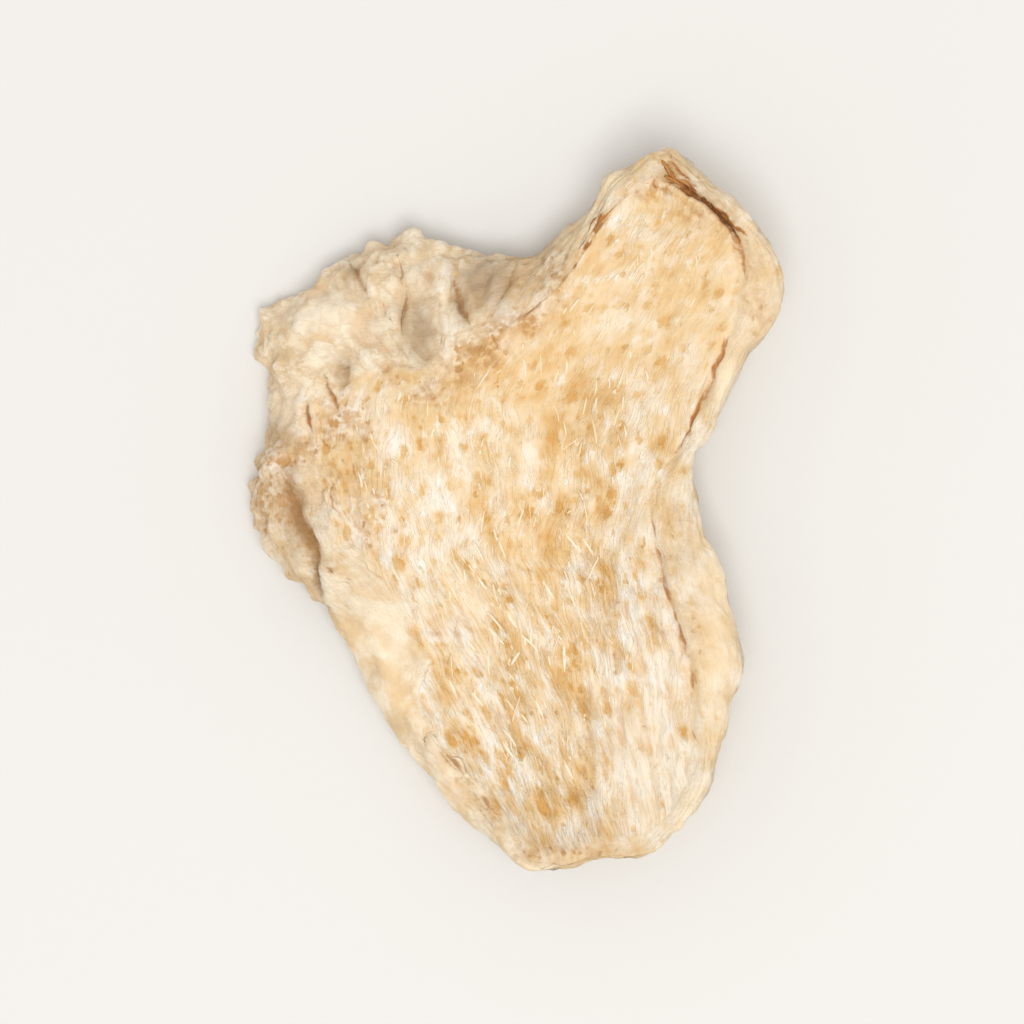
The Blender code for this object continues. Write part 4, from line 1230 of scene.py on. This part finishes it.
def specks(tree, groups, place, spacing, share=0.6):
    """Specks so many millimetres apart, in that share of their cells."""
    return use_group(tree, groups["specks"], Place=place, Spacing=spacing, Share=share)["Specks"]


def attribute(tree, name, vector=False):
    """A value or a vector that the mesh carries at its corners."""
    return add_node(tree, "ShaderNodeAttribute", attribute_name=name).outputs["Vector" if vector else "Fac"]


def new_material(name):
    """A material with only a Principled shader and its output. Returns it, its tree and the shader."""
    material = bpy.data.materials.new(name)
    material.use_nodes = True
    tree = material.node_tree
    return material, tree, tree.nodes["Principled BSDF"]


def link_surface(tree, shader, colour, height, strength, rise):
    """Links the shader to its colour and to a bump of the height, which rises by so many millimetres."""
    bump = add_node(tree, "ShaderNodeBump", {"Height": height, "Strength": strength, "Distance": rise * MM})
    tree.links.new(bump.outputs[0], shader.inputs["Normal"])
    tree.links.new(colour, shader.inputs["Base Color"])


def slice_material(settings, groups):
    """Flesh with fibres, specks and stains, skin with blotches and lines, and the crack between them, whose
    dark brown is partly painted shade.

    The flesh's tone is the sum of its mottle, its patches, its fibres and its stains, and runs from the
    specks' orange over the flesh's own colour to its palest.
    """
    material, tree, shader = new_material("dried_ginger")
    paint = palette(settings)
    place = object_place(tree)
    grain_place, along, round_rim = (
        attribute(tree, name, vector=True) for name in ("grain_place", "speck_place", "rim_place")
    )
    skin, skin_tone, rough_skin, brown, pale, golden, contrast = (
        attribute(tree, name)
        for name in ("skin", "skin_tone", "rough_skin", "brown", "pale", "golden", "contrast")
    )

    # Flesh.
    grain = use_group(tree, groups["grain"], Place=grain_place, Fineness=1.0)
    blots = specks(tree, groups, along, 0.52)
    small_blots = specks(tree, groups, along, 0.33)
    flecks = specks(tree, groups, scaled(tree, along, 1.25, 0.85, 1.0), 0.5)
    mottle = noise_value(tree, along, 1.3, 3.0, 0.45)
    patches = noise_value(tree, along, 0.5, 1.0)
    light = ((mottle, 1.3), (patches, 0.8), (grain["Streaks"], 0.15), (pale, 0.20), (flecks, 0.32))
    dark = ((blots, 0.42), (small_blots, 0.22), (attribute(tree, "pits"), 0.08), (golden, 0.20))
    tone = maths(tree, "SUBTRACT", weighted(tree, *light, start=-1.03), weighted(tree, *dark))
    tone = maths(tree, "MULTIPLY_ADD", tone, contrast, 0.46)

    # Where the skin starts, and the worn flesh of the right rim.
    frayed = weighted(tree, (noise_value(tree, place, 2.4, 4.0, 0.6), 1.0), (skin, 1.0))
    skin_share = step_between(tree, frayed, 0.62, 1.28)
    rim_tone = weighted(tree, (patches, 0.5), (pale, 0.25), (golden, -0.15), start=0.24)
    calmer = times(tree, skin_share, maths(tree, "SUBTRACT", 1.0, rough_skin))
    tone = blended(tree, calmer, tone, rim_tone)
    stops = ((0.06, "speck"), (0.42, "flesh"), (0.74, "pale"), (1.0, "white"))
    flesh = ramp(tree, tone, [(value, paint[name]) for value, name in stops])

    # Skin, and dirt and wear on both.
    bark = use_group(
        tree,
        groups["skin"],
        Place=round_rim,
        Light=paint["skin"],
        Tan=paint["flesh"],
        Dark=paint["skin_shade"],
        Facets=attribute(tree, "facets"),
    )
    colour = mixed(tree, skin_share, flesh, mixed(tree, skin_tone, flesh, bark["Colour"]))
    # Painted shade in the hollows, the specks' orange on the flesh and the fold colour on the skin; paler
    # ridges.
    colour = use_group(
        tree,
        groups["relief"],
        Colour=colour,
        Relief=attribute(tree, "relief"),
        Hollow_Colour=mixed(tree, skin_share, paint["speck"], paint["skin_shade"]),
        Ridge_Colour=mixed(tree, skin_share, paint["pale"], paint["white"]),
        Strength=weighted(tree, (skin_share, 0.25), start=0.35),
    )["Colour"]

    # Stains, each over the last. The grey is painted shade in the dips and on shaded walls.
    worn = times(tree, pale, times(tree, skin_share, 0.85))
    colour = mixed(tree, worn, colour, mixed(tree, skin_tone, paint["rim"], paint["pale"]))
    colour = mixed(tree, times(tree, attribute(tree, "grey"), 0.9), colour, paint["grey"])
    cloudy = step_between(tree, noise_value(tree, place, 2.6, 4.0), 0.30, 0.62)
    colour = mixed(tree, times(tree, times(tree, brown, cloudy), 0.8), colour, paint["stain"])
    bran = maths(tree, "MINIMUM", times(tree, specks(tree, groups, place, 0.45, 0.8), brown), 0.5)
    colour = mixed(tree, times(tree, bran, 1.7), colour, paint["stain"])

    # Brown lines in the creases, with darker cores that are partly their own dark brown and partly painted
    # shade where they are deepest, and the crack's painted dark shade.
    ragged = weighted(tree, (noise_value(tree, place, 4.5, 4.0, 0.65), 0.9), start=-0.45)
    nearest = maths(tree, "MAXIMUM", attribute(tree, "crease"), attribute(tree, "fold_line"))
    gaps = noise_value(tree, place, 1.1, 2.0)
    line = weighted(tree, (gaps, 0.6), (ragged, 1.0), (nearest, 1.0), start=-0.3)
    line_colour = mixed(tree, times(tree, skin_share, skin_tone), paint["line"], paint["crease"])
    colour = mixed(tree, times(tree, step_between(tree, line, 0.0, 0.8), 0.9), colour, line_colour)
    colour = mixed(tree, times(tree, step_between(tree, line, 0.75, 1.4), 0.6), colour, paint["crack"])
    crack = maths(tree, "ADD", attribute(tree, "crack"), ragged)
    colour = mixed(tree, step_between(tree, crack, 0.1, 0.6), colour, paint["crack"])

    # Bump and gloss.
    grain_height = times(tree, grain["Height"], contrast)
    flesh_height = weighted(tree, (grain_height, 0.75), (blots, -0.35), (flecks, 0.25), (mottle, 0.6))
    bark_height = times(tree, bark["Height"], times(tree, rough_skin, 1.5))
    link_surface(tree, shader, colour, blended(tree, skin_share, flesh_height, bark_height), 1.0, 0.12)
    rough = weighted(tree, (times(tree, bark["Sheen"], skin_share), -0.4), start=0.92)
    tree.links.new(rough, shader.inputs["Roughness"])
    shader.inputs["Specular IOR Level"].default_value = 0.35
    return material


class GINGER_OT_slice(bpy.types.Operator):
    """Builds the slice: both cut faces and the skin, as one closed surface"""

    bl_idname = "ginger.slice"
    bl_label = "Slice"

    def execute(self, context):
        slice_surface.cache_clear()
        parts = slice_surface()[:3]
        add_piece("ginger_root_slice", parts, slice_material(context.scene.ginger_slice, shared_groups()))
        return {"FINISHED"}


def toned_material(name, groups, low_colour, high_colour):
    """A finish for fibres and shreds: its colour runs from one to the other by the tone of each piece."""
    material, tree, shader = new_material(name)
    place = object_place(tree)
    colour = mixed(tree, attribute(tree, "tone"), with_alpha(low_colour), with_alpha(high_colour))
    colour = mixed(tree, times(tree, specks(tree, groups, place, 0.5, 0.4), 0.25), colour, BLOTCH_COLOUR)
    link_surface(tree, shader, colour, noise_value(tree, place, 14.0, 2.0), 0.5, 0.03)
    shader.inputs["Roughness"].default_value = 0.82
    return material


def add_piece(name, parts, material):
    """Adds a piece of the slice with the given finish: it rides on the only body, and the solid's slice is
    hidden.
    """
    piece = surface_mesh(name, *parts)
    piece.data.materials.append(material)
    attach(piece, "root")
    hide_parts("ginger_slice")


class GINGER_OT_fibres(bpy.types.Operator):
    """Builds the loose fibres on both cut faces"""

    bl_idname = "ginger.fibres"
    bl_label = "Loose fibres"

    def execute(self, context):
        settings = context.scene.ginger_fibres
        colours = settings.tan_colour, settings.pale_colour
        material = toned_material("ginger_fibre", shared_groups(), *colours)
        add_piece("ginger_loose_fibres", fibre_surface(settings), material)
        return {"FINISHED"}


class GINGER_OT_shreds(bpy.types.Operator):
    """Builds the torn shreds at the crack and along the skin's torn edge"""

    bl_idname = "ginger.shreds"
    bl_label = "Torn shreds"

    def execute(self, context):
        settings = context.scene.ginger_shreds
        moved, faces, _, _ = slice_surface()
        normals = corner_normals(moved, faces)
        x, y, turn, length, width, lift, tone = np.array(SHREDS).T
        aside = np.hypot(moved[:, 0] - x[:, None], moved[:, 1] - y[:, None]) + FAR * (normals[:, 2] < 0.1)
        foot = aside.argmin(axis=1)
        turn = np.radians(turn)
        ways = np.stack([np.cos(turn), np.sin(turn), 0 * turn], axis=1)
        parts = joined(ribbon_surface(moved[foot], normals[foot], ways, length, width, lift, tone))
        colours = settings.pale_colour, settings.shred_colour
        add_piece("ginger_torn_shreds", parts, toned_material("ginger_shred", shared_groups(), *colours))
        return {"FINISHED"}


@lru_cache(maxsize=1)
def shared_groups():
    """The node groups that the materials share, made once."""
    return {"grain": grain_group(), "specks": speck_group(), "relief": shade_and_wear_group(), "skin": skin_group()}


def add_area_light(name, place, size, power, colour):
    """A square light that looks at the origin, which lies below the slice."""
    data = bpy.data.lights.new(name, "AREA")
    data.size = size
    data.energy = power
    data.color = colour
    light = bpy.data.objects.new(name, data)
    light.location = place
    light.rotation_euler = (-Vector(place)).to_track_quat("-Z", "Y").to_euler()
    bpy.context.scene.collection.objects.link(light)


class GINGER_OT_stage(bpy.types.Operator):
    """Builds the pale floor, the soft lights, the surroundings and the camera"""

    bl_idname = "ginger.stage"
    bl_label = "Stage"

    def execute(self, context):
        settings = context.scene.ginger_stage
        half = settings.floor_size / 2
        data = bpy.data.meshes.new("floor")
        corners = [(-half, -half, 0), (half, -half, 0), (half, half, 0), (-half, half, 0)]
        data.from_pydata(corners, [], [(0, 1, 2, 3)])
        material, _, shader = new_material("pale_floor")
        shader.inputs["Base Color"].default_value = with_alpha(settings.floor_colour)
        shader.inputs["Roughness"].default_value = 0.9
        data.materials.append(material)
        floor = bpy.data.objects.new("floor", data)
        context.scene.collection.objects.link(floor)

        world = bpy.data.worlds.new("soft_room")
        world.use_nodes = True
        background = world.node_tree.nodes["Background"].inputs
        background["Color"].default_value = ROOM_COLOUR
        background["Strength"].default_value = ROOM_STRENGTH
        context.scene.world = world
        add_area_light("key_light", *KEY_LIGHT)

        low, high = (np.array(corner) for corner in CAD_BOX)
        middle = Vector((low + high) / 2)
        data = bpy.data.cameras.new("camera")
        data.lens = settings.lens
        data.sensor_width = SENSOR_WIDTH
        way = Vector(CAMERA_WAY).normalized()
        span = float((high - low)[1]) / settings.frame_fill
        camera = bpy.data.objects.new("camera", data)
        camera.location = middle + way * (span * data.lens / data.sensor_width)
        right = Vector((0, 1, 0)).cross(way).normalized()
        camera.rotation_euler = Matrix((right, way.cross(right), way)).transposed().to_euler()
        context.scene.collection.objects.link(camera)
        context.scene.camera = camera
        context.scene.view_settings.view_transform = "Standard"
        return {"FINISHED"}


class GINGER_PT_panel(bpy.types.Panel):
    """Lists the pieces and their settings in the sidebar"""

    bl_idname = "GINGER_PT_panel"
    bl_label = "Dried ginger slice"
    bl_space_type = "VIEW_3D"
    bl_region_type = "UI"
    bl_category = "Ginger"

    def draw(self, context):
        for group, settings_type in SETTINGS.items():
            box = self.layout.box()
            for name in settings_type.__annotations__:
                box.prop(getattr(context.scene, group), name)
            box.operator(group.replace("_", "."))


# The scene's settings. Each is named after the operator that reads it.
SETTINGS = {
    "ginger_slice": GingerSliceSettings,
    "ginger_fibres": GingerFibreSettings,
    "ginger_shreds": GingerShredSettings,
    "ginger_stage": GingerStageSettings,
}
CLASSES = (
    *SETTINGS.values(),
    GINGER_OT_slice,
    GINGER_OT_fibres,
    GINGER_OT_shreds,
    GINGER_OT_stage,
    GINGER_PT_panel,
)


def register():
    """Makes the classes and the scene's settings known to Blender."""
    for cls in CLASSES:
        bpy.utils.register_class(cls)
    for name, settings_type in SETTINGS.items():
        setattr(bpy.types.Scene, name, bpy.props.PointerProperty(type=settings_type))


def unregister():
    """Takes back what register made."""
    for name in SETTINGS:
        delattr(bpy.types.Scene, name)
    for cls in reversed(CLASSES):
        bpy.utils.unregister_class(cls)


def main():
    """Builds the pieces and the stage."""
    register()
    bpy.ops.ginger.slice()
    bpy.ops.ginger.fibres()
    bpy.ops.ginger.shreds()
    bpy.ops.ginger.stage()


if __name__ == "__main__":
    main()
